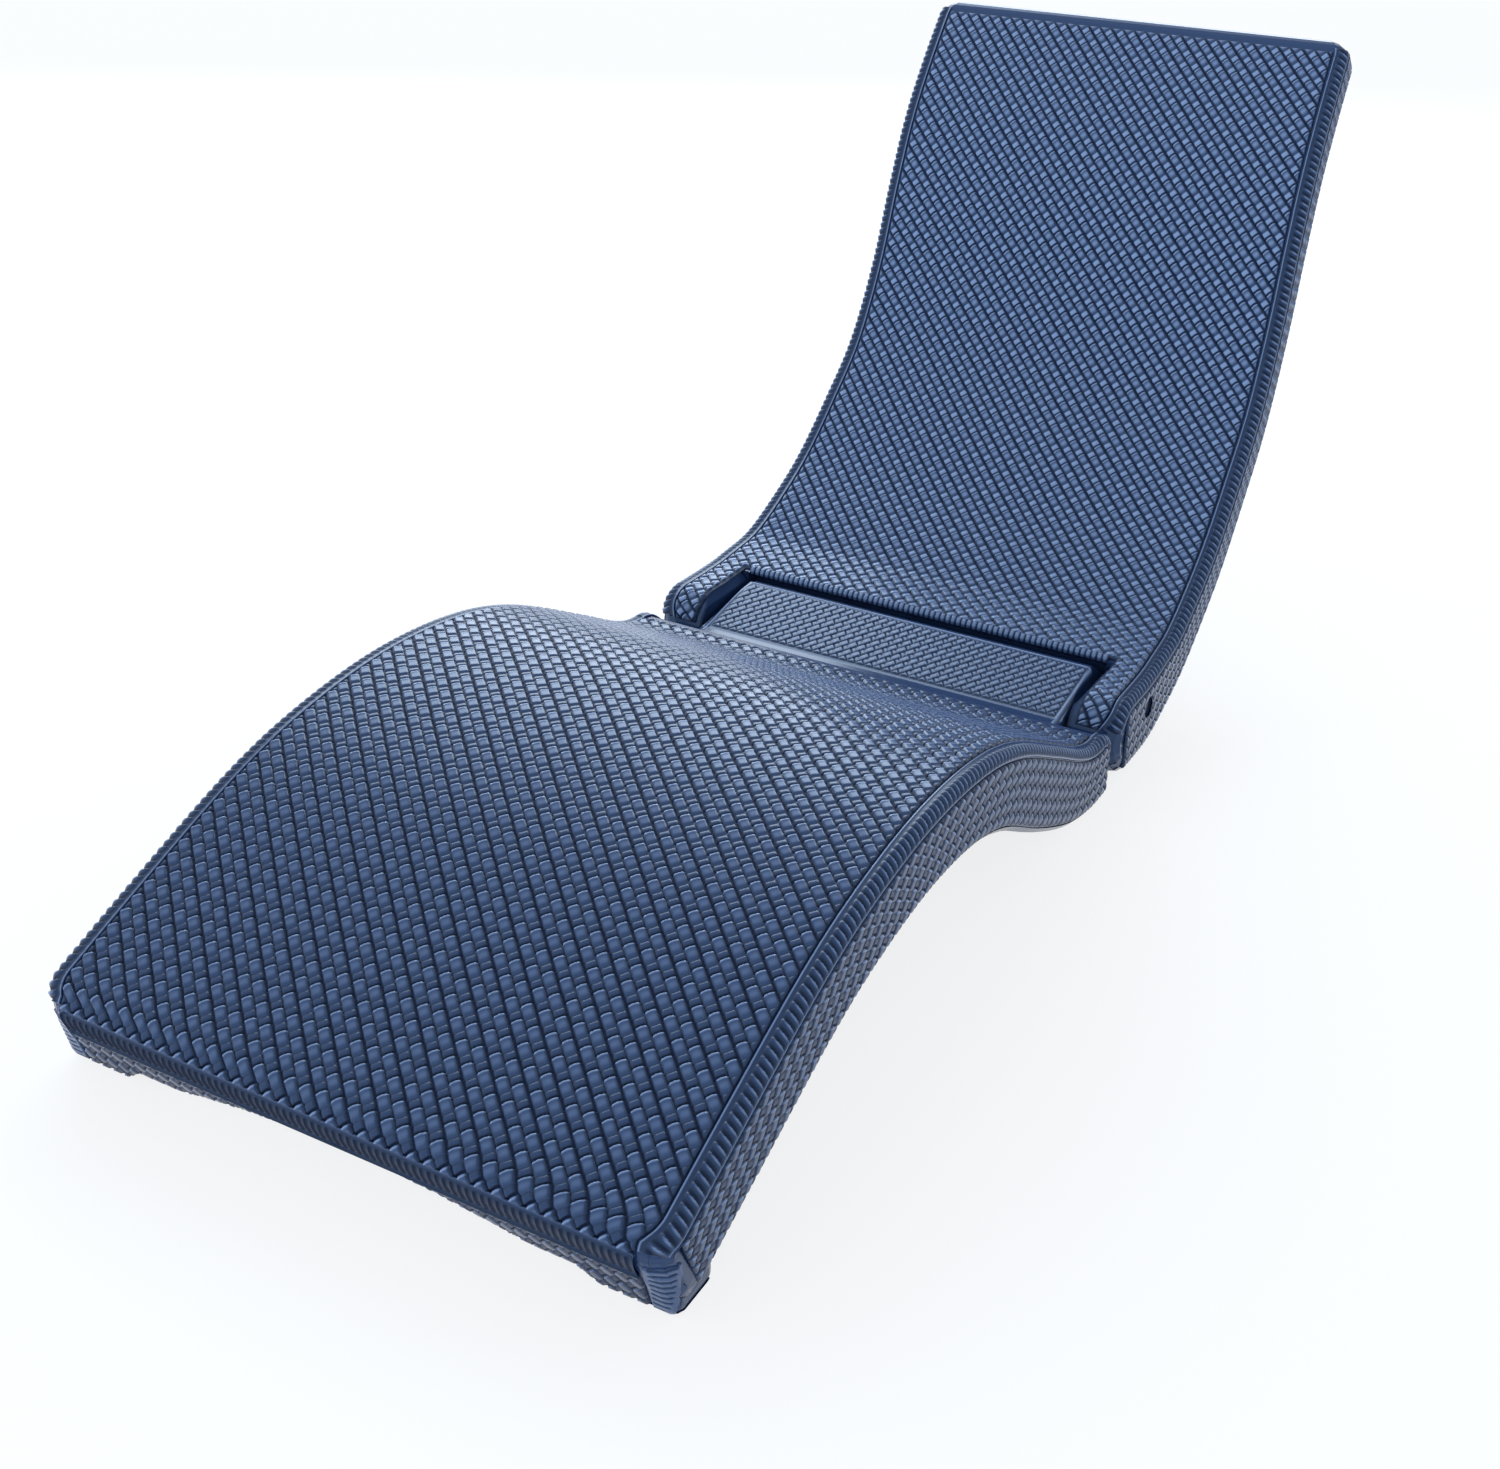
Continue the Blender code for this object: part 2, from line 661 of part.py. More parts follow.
def hinge_cap(name, side, parts, plastic):
    """Push-on cap over one end of the rod, sunk in the ear."""
    inner = SEAT_GAP
    outer = SEAT_GAP + CAP_THICKNESS
    socket = ROD_RADIUS + SEAT_GAP
    profile = [
        (0, outer), (CAP_RADIUS - CAP_ROUNDING, outer), (CAP_RADIUS, outer - CAP_ROUNDING),
        (CAP_RADIUS, inner), (socket, inner), (socket, CAP_SOCKET + SEAT_GAP), (0, CAP_SOCKET + SEAT_GAP),
    ]
    floor = FOLD_AXIS + Vector((side * (HINGE_WIDTH / 2 - cap_depth()), 0, 0))
    return turned(name, profile, floor, Vector((side, 0, 0)), parts, plastic)


def fill_plug(name, place, parts, cutters, plastic):
    """Screw-in plug, its head in the recess and a coin slot across it."""
    point, outward = place
    under = -PLUG_HEAD_HEIGHT
    tip = under - PLUG_LENGTH
    profile = [
        (0, 0), (PLUG_HEAD_RADIUS - PLUG_ROUNDING, 0), (PLUG_HEAD_RADIUS, -PLUG_ROUNDING),
        (PLUG_HEAD_RADIUS, under), (PLUG_RADIUS, under), (PLUG_RADIUS, tip + PLUG_ROUNDING),
        (PLUG_RADIUS - PLUG_ROUNDING, tip), (0, tip),
    ]
    plug = turned(name, profile, point, outward, parts, plastic)
    low = Vector((-PLUG_SLOT_LENGTH / 2, -PLUG_SLOT_WIDTH / 2, -PLUG_SLOT_DEPTH))
    high = Vector((PLUG_SLOT_LENGTH / 2, PLUG_SLOT_WIDTH / 2, OVERRUN))
    slot = block(name + "_slot", low, high, cutters)
    slot.location = point
    slot.rotation_mode = "QUATERNION"
    slot.rotation_quaternion = outward.to_track_quat("Z", "Y")
    combine(plug, slot, "DIFFERENCE")
    return plug


def plug_seal(name, place, parts, rubber):
    """Flat ring between the head of a plug and the floor of its recess."""
    point, outward = place
    top = -PLUG_HEAD_HEIGHT - SEAT_GAP
    low = top - SEAL_HEIGHT
    inside = PLUG_RADIUS + SEAT_GAP
    outside = inside + SEAL_WIDTH
    profile = [(inside, top), (outside, top), (outside, low), (inside, low), (inside, top)]
    return turned(name, profile, point, outward, parts, rubber)


def build():
    clear_scene()
    parts = new_collection("pool_chaise_lounge")
    cutters = new_collection("cutters")
    navy = material("navy_plastic", (0.042, 0.088, 0.224), 0.38)
    dark = material("dark_plastic", (0.012, 0.016, 0.030), 0.5)
    steel = material("stainless_steel", (0.56, 0.57, 0.58), 0.3, 1.0)
    rubber = material("black_rubber", (0.010, 0.010, 0.011), 0.8)
    seat_shell(parts, cutters, navy)
    back_shell(parts, cutters, navy)
    hinge_rod(parts, steel)
    hinge_cap("hinge_cap_left", -1, parts, dark)
    hinge_cap("hinge_cap_right", 1, parts, dark)
    fill_plug("seat_fill_plug", seat_plug_place(), parts, cutters, dark)
    plug_seal("seat_plug_seal", seat_plug_place(), parts, rubber)
    fill_plug("back_fill_plug", back_plug_place(), parts, cutters, dark)
    plug_seal("back_plug_seal", back_plug_place(), parts, rubber)


build()
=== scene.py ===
import math

import bpy
import numpy as np
from mathutils import Matrix, Vector
from mathutils.bvhtree import BVHTree


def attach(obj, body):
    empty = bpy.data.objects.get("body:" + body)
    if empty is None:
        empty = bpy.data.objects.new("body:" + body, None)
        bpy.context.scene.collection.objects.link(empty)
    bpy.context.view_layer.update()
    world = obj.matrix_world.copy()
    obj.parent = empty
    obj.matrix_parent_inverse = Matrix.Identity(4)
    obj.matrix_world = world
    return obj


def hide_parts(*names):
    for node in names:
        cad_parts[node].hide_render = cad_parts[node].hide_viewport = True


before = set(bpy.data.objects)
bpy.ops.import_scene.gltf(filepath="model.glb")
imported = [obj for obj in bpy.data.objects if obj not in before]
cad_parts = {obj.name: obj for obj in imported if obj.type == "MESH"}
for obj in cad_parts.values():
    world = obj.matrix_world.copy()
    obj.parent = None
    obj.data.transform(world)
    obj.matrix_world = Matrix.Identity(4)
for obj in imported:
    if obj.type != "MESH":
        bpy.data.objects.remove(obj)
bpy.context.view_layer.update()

# Floor: one pale, matt plane, a hair below the feet and large enough to fill every view. Most
# of what a view shows of it is its own white, and the rest is lit and keeps the soft shadow.
floor_half = 30.0
floor_height = -0.0004
floor_own_white = 0.82
floor_corners = ((-1, -1), (1, -1), (1, 1), (-1, 1))
floor_mesh = bpy.data.meshes.new("floor")
floor_places = [(x * floor_half, y * floor_half, floor_height) for x, y in floor_corners]
floor_mesh.from_pydata(floor_places, [], [(0, 1, 2, 3)])
floor = bpy.data.objects.new("floor", floor_mesh)
bpy.context.scene.collection.objects.link(floor)


def background_rays(nodes, links):
    """A mask of the rays that show the background: from the camera, mirrored or through glass."""
    path = nodes.new("ShaderNodeLightPath")
    mask = path.outputs["Is Camera Ray"]
    for kind in ("Is Glossy Ray", "Is Transmission Ray"):
        either = nodes.new("ShaderNodeMath")
        either.operation = "MAXIMUM"
        links.new(mask, either.inputs[0])
        links.new(path.outputs[kind], either.inputs[1])
        mask = either.outputs["Value"]
    return mask


floor_paint = bpy.data.materials.new("floor_paint")
floor_paint.use_nodes = True
floor_nodes = floor_paint.node_tree.nodes
floor_links = floor_paint.node_tree.links
floor_shader = floor_nodes["Principled BSDF"]
floor_shader.inputs["Base Color"].default_value = (0.95, 0.955, 0.96, 1)
floor_shader.inputs["Roughness"].default_value = 0.9
floor_shader.inputs["Specular IOR Level"].default_value = 0.1
floor_white = floor_nodes.new("ShaderNodeEmission")
floor_white.inputs["Color"].default_value = (1, 1, 1, 1)
floor_white.inputs["Strength"].default_value = 1.0
floor_share = floor_nodes.new("ShaderNodeMath")
floor_share.operation = "MULTIPLY"
floor_share.inputs[1].default_value = floor_own_white
floor_mix = floor_nodes.new("ShaderNodeMixShader")
floor_links.new(background_rays(floor_nodes, floor_links), floor_share.inputs[0])
floor_links.new(floor_share.outputs["Value"], floor_mix.inputs["Fac"])
floor_links.new(floor_shader.outputs[0], floor_mix.inputs[1])
floor_links.new(floor_white.outputs[0], floor_mix.inputs[2])
floor_links.new(floor_mix.outputs[0], floor_nodes["Material Output"].inputs["Surface"])
floor_mesh.materials.append(floor_paint)

# Room: a pale studio that lights the lounge from all round, most near the floor and on the
# left, and less from overhead. Its backdrop is white.
room_low_height, room_high_height = 0.40, 0.85
room_low_level, room_high_level = 2.2, 0.30
room_left = (-0.88, 0.25, 0.0)
room_side_reach = 0.9
room_dim_side, room_bright_side = 0.45, 1.65


def ranged(nodes, from_low, from_high, to_low=0.0, to_high=1.0):
    """A Map Range node with its four limits."""
    node = nodes.new("ShaderNodeMapRange")
    node.inputs["From Min"].default_value = from_low
    node.inputs["From Max"].default_value = from_high
    node.inputs["To Min"].default_value = to_low
    node.inputs["To Max"].default_value = to_high
    return node


world = bpy.data.worlds.new("room")
bpy.context.scene.world = world
world.use_nodes = True
room_nodes = world.node_tree.nodes
room_links = world.node_tree.links
room_light = room_nodes["Background"]
room_light.inputs["Color"].default_value = (0.72, 0.85, 1.0, 1)
room_way = room_nodes.new("ShaderNodeTexCoord")
room_parts = room_nodes.new("ShaderNodeSeparateXYZ")
room_ring = ranged(room_nodes, room_low_height, room_high_height, room_low_level, room_high_level)
room_ring.interpolation_type = "SMOOTHSTEP"
room_facing = room_nodes.new("ShaderNodeVectorMath")
room_facing.operation = "DOT_PRODUCT"
room_facing.inputs[1].default_value = room_left
room_side = ranged(room_nodes, -room_side_reach, room_side_reach, room_dim_side, room_bright_side)
room_level = room_nodes.new("ShaderNodeMath")
room_level.operation = "MULTIPLY"
room_backdrop = room_nodes.new("ShaderNodeBackground")
room_backdrop.inputs["Color"].default_value = (1, 1, 1, 1)
room_backdrop.inputs["Strength"].default_value = 1.0
room_mix = room_nodes.new("ShaderNodeMixShader")
room_links.new(room_way.outputs["Generated"], room_parts.inputs[0])
room_links.new(room_parts.outputs["Z"], room_ring.inputs["Value"])
room_links.new(room_way.outputs["Generated"], room_facing.inputs[0])
room_links.new(room_facing.outputs["Value"], room_side.inputs["Value"])
room_links.new(room_ring.outputs["Result"], room_level.inputs[0])
room_links.new(room_side.outputs["Result"], room_level.inputs[1])
room_links.new(room_level.outputs["Value"], room_light.inputs["Strength"])
room_links.new(background_rays(room_nodes, room_links), room_mix.inputs["Fac"])
room_links.new(room_light.outputs[0], room_mix.inputs[1])
room_links.new(room_backdrop.outputs[0], room_mix.inputs[2])
room_links.new(room_mix.outputs[0], room_nodes["World Output"].inputs["Surface"])

# Softbox: one wide lamp behind on the left, turned to the lounge. Its shine lies on the knee
# and in the seat's dip.
softbox_place = Vector((-1.94, 2.57, 2.0))
softbox_aim = Vector((0.0, -0.25, 0.15))
softbox_width, softbox_height = 4.4, 2.6
softbox_data = bpy.data.lights.new("softbox", "AREA")
softbox_data.shape = "RECTANGLE"
softbox_data.size = softbox_width
softbox_data.size_y = softbox_height
softbox_data.energy = 135.0
softbox_data.color = (0.80, 0.90, 1.0)
softbox = bpy.data.objects.new("softbox", softbox_data)
softbox.location = softbox_place
softbox.rotation_euler = (softbox_place - softbox_aim).to_track_quat("Z", "Y").to_euler()
softbox.visible_camera = False
bpy.context.scene.collection.objects.link(softbox)

# Camera: at the photograph's place, above and before the foot end on the right, tilted down
# and rolled a little. Its shift only centres the lounge in the frame.
camera_place = Vector((0.8458, -1.6664, 1.028))
camera_yaw = math.radians(27.37)
camera_pitch = math.radians(25.42)
camera_roll = math.radians(2.17)
forward = Vector((
    -math.sin(camera_yaw) * math.cos(camera_pitch),
    math.cos(camera_yaw) * math.cos(camera_pitch),
    -math.sin(camera_pitch),
))
level_right = Vector((math.cos(camera_yaw), math.sin(camera_yaw), 0))
level_up = level_right.cross(forward)
view_right = math.cos(camera_roll) * level_right + math.sin(camera_roll) * level_up
view_up = math.cos(camera_roll) * level_up - math.sin(camera_roll) * level_right
camera_data = bpy.data.cameras.new("camera")
camera_data.sensor_fit = "HORIZONTAL"
camera_data.sensor_width = 36
camera_data.lens = 47.304
camera_data.shift_x = -0.04667
camera_data.shift_y = -0.063
camera_data.dof.use_dof = False
camera = bpy.data.objects.new("camera", camera_data)
turned = Matrix((view_right, view_up, -forward)).transposed()
camera.matrix_world = Matrix.Translation(camera_place) @ turned.to_4x4()
bpy.context.scene.collection.objects.link(camera)
bpy.context.scene.camera = camera
bpy.context.scene.view_settings.view_transform = "Standard"

# Seat moulding: a hollow shell of navy polyethylene, moulded in one with its feet, heel and
# tongue. The solid is drawn in by a hair and shaded smooth, so that its relief lies on it.
under_relief = 0.0013
under_feet = 0.0003
downward = -0.5
sharp_angle = math.radians(32)
navy_base = (0.019, 0.040, 0.104)
navy_grain = 900.0
# Stored shading: 0 takes the grooves' painted shade, 0.5 plain navy, 1 the rises' painted highlight.
groove_level, strand_level, rise_level = 0.0, 0.5, 1.0
strand_least_rough, strand_most_rough = 0.15, 0.27
dull_up_to, groove_dullness = 0.3, 0.5

# The shade group: the grooves' painted shade, plain navy and the rises' painted highlight, mixed
# by the painted shading stored on a mesh, and a fine grain of roughness that is dull in the grooves.
shade_group = bpy.data.node_groups.new("painted_shade_and_highlight", "ShaderNodeTree")
shade_sockets = shade_group.interface
for socket_name in ("Painted Groove Shade", "Base", "Painted Rise Highlight"):
    shade_sockets.new_socket(socket_name, in_out="INPUT", socket_type="NodeSocketColor")
shade_sockets.new_socket("Grain", in_out="INPUT", socket_type="NodeSocketFloat")
shade_sockets.new_socket("Color", in_out="OUTPUT", socket_type="NodeSocketColor")
shade_sockets.new_socket("Roughness", in_out="OUTPUT", socket_type="NodeSocketFloat")
shade_nodes = shade_group.nodes
shade_links = shade_group.links
shade_in = shade_nodes.new("NodeGroupInput")
shade_out = shade_nodes.new("NodeGroupOutput")
shade_stored = shade_nodes.new("ShaderNodeAttribute")
shade_stored.attribute_name = "relief"
shade_low = ranged(shade_nodes, groove_level, strand_level)
shade_high = ranged(shade_nodes, strand_level, rise_level)
shade_mix = shade_nodes.new("ShaderNodeMix")
shade_mix.data_type = "RGBA"
shade_top = shade_nodes.new("ShaderNodeMix")
shade_top.data_type = "RGBA"
shade_links.new(shade_stored.outputs["Fac"], shade_low.inputs["Value"])
shade_links.new(shade_stored.outputs["Fac"], shade_high.inputs["Value"])
shade_links.new(shade_low.outputs["Result"], shade_mix.inputs["Factor"])
shade_links.new(shade_in.outputs["Painted Groove Shade"], shade_mix.inputs[6])
shade_links.new(shade_in.outputs["Base"], shade_mix.inputs[7])
shade_links.new(shade_high.outputs["Result"], shade_top.inputs["Factor"])
shade_links.new(shade_mix.outputs[2], shade_top.inputs[6])
shade_links.new(shade_in.outputs["Painted Rise Highlight"], shade_top.inputs[7])
shade_links.new(shade_top.outputs[2], shade_out.inputs["Color"])
shade_place = shade_nodes.new("ShaderNodeTexCoord")
shade_noise = shade_nodes.new("ShaderNodeTexNoise")
shade_noise.inputs["Detail"].default_value = 3.0
shade_rough = ranged(shade_nodes, 0.0, 1.0, strand_least_rough, strand_most_rough)
shade_dull = ranged(shade_nodes, groove_level, dull_up_to, groove_dullness, 0.0)
shade_sum = shade_nodes.new("ShaderNodeMath")
shade_sum.operation = "ADD"
shade_links.new(shade_place.outputs["Object"], shade_noise.inputs["Vector"])
shade_links.new(shade_in.outputs["Grain"], shade_noise.inputs["Scale"])
shade_links.new(shade_noise.outputs["Fac"], shade_rough.inputs["Value"])
shade_links.new(shade_stored.outputs["Fac"], shade_dull.inputs["Value"])
shade_links.new(shade_rough.outputs["Result"], shade_sum.inputs[0])
shade_links.new(shade_dull.outputs["Result"], shade_sum.inputs[1])
shade_links.new(shade_sum.outputs["Value"], shade_out.inputs["Roughness"])


def navy_plastic(name, groove=None, rise=None):
    """Navy with a relief's painted shade and painted highlight, or in one colour where none are given."""
    paint = bpy.data.materials.new(name)
    paint.use_nodes = True
    nodes, links = paint.node_tree.nodes, paint.node_tree.links
    shader = nodes["Principled BSDF"]
    group = nodes.new("ShaderNodeGroup")
    group.node_tree = shade_group
    group.inputs["Grain"].default_value = navy_grain
    if groove is None:
        shader.inputs["Base Color"].default_value = (*navy_base, 1)
    else:
        group.inputs["Painted Groove Shade"].default_value = (*groove, 1)
        group.inputs["Base"].default_value = (*navy_base, 1)
        group.inputs["Painted Rise Highlight"].default_value = (*rise, 1)
        links.new(group.outputs["Color"], shader.inputs["Base Color"])
    links.new(group.outputs["Roughness"], shader.inputs["Roughness"])
    shader.inputs["IOR"].default_value = 1.5
    shader.inputs["Specular Tint"].default_value = (0.54, 0.76, 1.0, 1)
    return paint


def smooth_body(node, body):
    """A copy of a moulding's solid, drawn in under its relief, in the node's place."""
    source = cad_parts[node]
    mesh = source.data.copy()
    count = len(mesh.vertices)
    places = np.empty(count * 3)
    normals = np.empty(count * 3)
    mesh.vertices.foreach_get("co", places)
    mesh.vertices.foreach_get("normal", normals)
    places, normals = places.reshape(-1, 3), normals.reshape(-1, 3)
    inward = np.where(normals[:, 2:3] < downward, under_feet, under_relief)
    mesh.vertices.foreach_set("co", (places - normals * inward).reshape(-1))
    mesh.shade_smooth()
    mesh.set_sharp_from_angle(angle=sharp_angle)
    mesh.materials.clear()
    mesh.materials.append(navy_smooth)
    stored = mesh.attributes.new("relief", "FLOAT", "POINT")
    stored.data.foreach_set("value", np.full(count, strand_level))
    piece = bpy.data.objects.new(node + "_body", mesh)
    piece.matrix_world = source.matrix_world
    bpy.context.scene.collection.objects.link(piece)
    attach(piece, body)
    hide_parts(node)


navy_smooth = navy_plastic("navy_plastic_smooth")
smooth_body("seat_shell", "seat")

# Back moulding: the second hollow shell of the same plastic, with an ear on each side that
# turns on the hinge rod, and a smooth rear face.
smooth_body("back_shell", "back")

# Seat, woven top face: strands of relief laid crosswise at 45 degrees, moulded in one with the
# shell. A sheet of fine quads follows the seat's outline in side view, which is that of the
# solid: listed points of its middle line, as shares, with the thickness there.
foot_width = 0.5969
hinge_width = 0.571
top_width = 0.531
seat_reach = 1.0001
back_reach = 0.6001
hinge_y = (seat_reach - back_reach) / 2
knee_rise = 0.1342
seat_thickness = 0.078
floor_flat = 0.001
ear_reach = 0.098
nose_gap = 0.008
foot_corner_radius = 0.024
most_foot_loss = 0.009
nose_corner_radius = 0.020
foot_end_radius = 0.021
line_steps = 14
end_steps = 25
outline_step = 0.001
least_spacing = 1e-7
uv_margin = 0.01
seat_shares = (
    (0.9904, -0.012, 1.02), (0.881, 0.352, 1.05), (0.765, 0.718, 1.05), (0.678, 0.898, 1.04),
    (0.579, 0.990, 1.03), (0.480, 0.946, 1.04), (0.3955, 0.770, 1.07), (0.3017, 0.418, 1.12),
    (0.2233, 0.137, 1.07), (0.168, 0.014, 1.01),
)


def smooth_line(points):
    """A smooth line through given points of place and thickness."""
    points = [np.array(point) for point in points]
    ends = [points[0] * 2 - points[1], *points, points[-1] * 2 - points[-2]]
    line = []
    for a, b, c, d in zip(ends, ends[1:], ends[2:], ends[3:]):
        for step in range(line_steps):
            t = step / line_steps
            bend = (2 * a - 5 * b + 4 * c - d) * t**2 + (3 * b - a - 3 * c + d) * t**3
            line.append(0.5 * (2 * b + (c - a) * t + bend))
    line.append(points[-1])
    return np.array(line)


def rounded_end(tip, ahead, up, half, radius):
    """The rounded end of an outline, from its upper side round the tip to its underside."""
    turn = np.linspace(0, math.pi / 2, end_steps)[:, None]
    middle = tip - ahead * radius
    high = middle + up * (half - radius) + radius * (np.cos(turn) * up + np.sin(turn) * ahead)
    low = middle - up * (half - radius) + radius * (np.cos(turn) * ahead - np.sin(turn) * up)
    return np.concatenate([high, low])


def run_of(points):
    """Distance along a row of points."""
    return np.concatenate([[0], np.cumsum(np.linalg.norm(np.diff(points, axis=0), axis=1))])


def outline_of(line, near, far):
    """Top outline from the underside of the first end to that of the last, in even steps. near
    and far are the radii of the ends; first and last say where the top face begins and ends."""
    flat = line[:, :2]
    tangent = np.gradient(flat, axis=0)
    tangent /= np.linalg.norm(tangent, axis=1)[:, None]
    side = np.stack([-tangent[:, 1], tangent[:, 0]], axis=1)
    run = run_of(flat)
    kept = (run > near) & (run < run[-1] - far)
    upper = (flat + side * line[:, 2:3] / 2)[kept]
    start = rounded_end(flat[0], -tangent[0], side[0], line[0, 2] / 2, near)[::-1]
    end = rounded_end(flat[-1], tangent[-1], side[-1], line[-1, 2] / 2, far)
    points = np.concatenate([start, upper, end])
    spaced = np.linalg.norm(np.diff(points, axis=0), axis=1) > least_spacing
    points = points[np.concatenate([[True], spaced])]
    run = run_of(points)
    even = np.arange(0, run[-1], outline_step)
    points = np.stack([np.interp(even, run, points[:, k]) for k in range(2)], axis=1)
    padded = np.pad(np.gradient(points, axis=0), ((2, 2), (0, 0)), mode="edge")
    slope = np.stack([np.convolve(row, np.ones(5) / 5, mode="valid") for row in padded.T], axis=1)
    slope /= np.linalg.norm(slope, axis=1)[:, None]
    return {
        "run": even,
        "points": points,
        "normal": np.stack([-slope[:, 1], slope[:, 0]], axis=1),
        "first": even[np.linalg.norm(points - upper[0], axis=1).argmin()],
        "last": even[np.linalg.norm(points - upper[-1], axis=1).argmin()],
    }


def on_outline(outline, distance):
    """Place (Y, Z) and outward normal (Y, Z) at distances along an outline."""
    y, z = (np.interp(distance, outline["run"], row) for row in outline["points"].T)
    ny, nz = (np.interp(distance, outline["run"], row) for row in outline["normal"].T)
    length = np.hypot(ny, nz)
    return y, z, ny / length, nz / length


def half_width(y):
    """Half the lounge's width in plan, before its corners are rounded."""
    foot_y = hinge_y - seat_reach + foot_corner_radius
    seat_share = np.maximum(y - foot_y, 0) / (hinge_y - foot_y)
    before = (foot_width + (hinge_width - foot_width) * seat_share) / 2
    behind = (hinge_width + (top_width - hinge_width) * (y - hinge_y) / back_reach) / 2
    return np.where(y < hinge_y, before, behind)


def corner_loss(distance, radius):
    """How much a round corner takes off the half width at a distance from the end."""
    near = np.clip(distance, 0, radius)
    return radius - np.sqrt(np.maximum(radius**2 - (radius - near)**2, 0))


def seat_half(y):
    """Half the seat's width in plan."""
    foot_loss = corner_loss(y - hinge_y + seat_reach, foot_corner_radius)
    nose_loss = corner_loss(hinge_y - ear_reach - nose_gap - y, nose_corner_radius)
    return half_width(y) - np.minimum(foot_loss, most_foot_loss) - nose_loss


def relief_piece(name, body, base, height, painted_shading, kept=None):
    """A sheet of fine quads with its places moved out by a height. Its stored shading runs from the
    grooves' painted shade to a painted highlight, and its borders are tucked in under the body's surface."""
    rows, columns = height.shape
    normal = np.cross(np.gradient(base, axis=1), np.gradient(base, axis=0))
    normal /= np.maximum(np.linalg.norm(normal, axis=-1, keepdims=True), 1e-12)
    height = height.copy()
    for rim in (height[0], height[-1], height[:, 0], height[:, -1]):
        np.minimum(rim, -under_relief, out=rim)
    points = base + normal * height[..., None]
    index = np.arange(rows * columns).reshape(rows, columns)
    corners = [index[:-1, :-1], index[:-1, 1:], index[1:, 1:], index[1:, :-1]]
    quads = np.stack(corners, axis=-1).reshape(-1, 4)
    if kept is not None:
        quads = quads[kept.reshape(-1)]
    mesh = bpy.data.meshes.new(name)
    mesh.vertices.add(rows * columns)
    mesh.vertices.foreach_set("co", points.astype(np.float32).reshape(-1))
    mesh.loops.add(quads.size)
    mesh.loops.foreach_set("vertex_index", quads.astype(np.int32).reshape(-1))
    mesh.polygons.add(len(quads))
    mesh.polygons.foreach_set("loop_start", np.arange(len(quads), dtype=np.int32) * 4)
    mesh.update(calc_edges=True)
    over, up = np.meshgrid(
        np.linspace(uv_margin, 1 - uv_margin, columns), np.linspace(uv_margin, 1 - uv_margin, rows))
    layout = np.stack([over, up], axis=-1).reshape(-1, 2)[quads.reshape(-1)]
    layer = mesh.uv_layers.new(name="OFBake")
    layer.data.foreach_set("uv", layout.astype(np.float32).reshape(-1))
    stored = mesh.attributes.new("relief", "FLOAT", "POINT")
    stored.data.foreach_set("value", painted_shading.astype(np.float32).reshape(-1))
    mesh.shade_smooth()
    mesh.materials.append(navy_woven)
    piece = bpy.data.objects.new(name, mesh)
    bpy.context.scene.collection.objects.link(piece)
    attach(piece, body)


block_head, block_bow = -0.56, 0.10
head_slope, tail_end, tail_slope = 0.12, 0.70, 0.30
block_height, block_tilt, block_crown = 0.80, 0.12, 0.15
lip_at, lip_height, lip_width, lip_taper = 0.14, 0.16, 0.08, 0.4
short_height, short_reach, short_crown = 0.58, 0.40, 0.20
slit_at, slit_depth, slit_width = -0.07, 0.75, 0.075
deep_width, thin_width = 0.10, 0.07
lowest_groove = -0.45
# Painted shading: painted highlight on the blocks and lips, painted shadow in the slits and grooves.
highlight_at, highlight_width = 0.05, 0.30
long_shade, long_painted_highlight, short_shade = 0.50, 0.50, 0.4
lip_highlight, slit_shade, cut_shade = 0.75, 1.10, 1.10


def bell(distance, width):
    """1 at distance 0, falling smoothly to nothing a few widths away."""
    return np.exp(-(distance / width)**2)


def woven(across, along, deep, thin, painted_highlight=0.30):
    """Height and painted shading of the weave at places counted in cells. Rows of long raised blocks run
    along one diagonal, each with a lip and a slit at its head and a lower block between it and the
    next. Deep and thin grooves part the rows in turn. Slits and grooves get painted shadow, the lips a
    painted highlight, and the last argument sets how much painted highlight lies on the blocks."""
    strand = across + along
    row = np.floor(strand)
    over = 2 * (strand - row) - 1
    step = (across - along - 0.5 + row + 1) % 2 - 1
    from_head = step - block_head + block_bow * (1 - over**2)
    rise = np.clip(from_head / head_slope, 0, 1)
    rise = rise * rise * (3 - 2 * rise)
    fall = np.clip((tail_end - step) / tail_slope, 0, 1)
    fall = fall * fall * (3 - 2 * fall)
    lip = bell(from_head - lip_at, lip_width) * (1 - lip_taper * over**2) * rise
    long_block = rise * fall * (1 - block_crown * over**4) * (block_height - block_tilt * step)
    long_block = long_block + lip_height * lip
    short_shape = np.clip(1 - ((1 - np.abs(step)) / short_reach)**4, 0, 1)
    short_block = short_height * short_shape * (1 - short_crown * over**4)
    slit = bell(from_head - slit_at, slit_width)
    pair = np.abs(strand / 2 - np.round(strand / 2)) * 2
    cut = deep * bell(pair, deep_width) + thin * bell(1 - pair, thin_width)
    height = np.maximum(long_block, short_block) - slit_depth * slit - cut
    long_painted_shading = long_shade + long_painted_highlight * painted_highlight * bell(step - highlight_at, highlight_width) * (1 - over**2)
    short_painted_shading = short_shade * painted_highlight + painted_highlight * short_shape * (1 - over**4)
    shown = np.where(long_block > short_block, long_painted_shading, short_painted_shading)
    painted_shading = shown + lip_highlight * lip - slit_shade * slit - cut_shade * cut
    return np.clip(height, lowest_groove, 1), np.clip(painted_shading, 0, 1)


weave_cell = 0.0153
weave_margin = 0.0172
weave_depth = 0.0028
weave_floor = 0.0002
steps_per_cell = 14
border_width = 0.12
seat_cells_across = 36
seat_before_face, seat_after_face = 0.0245, 0.001


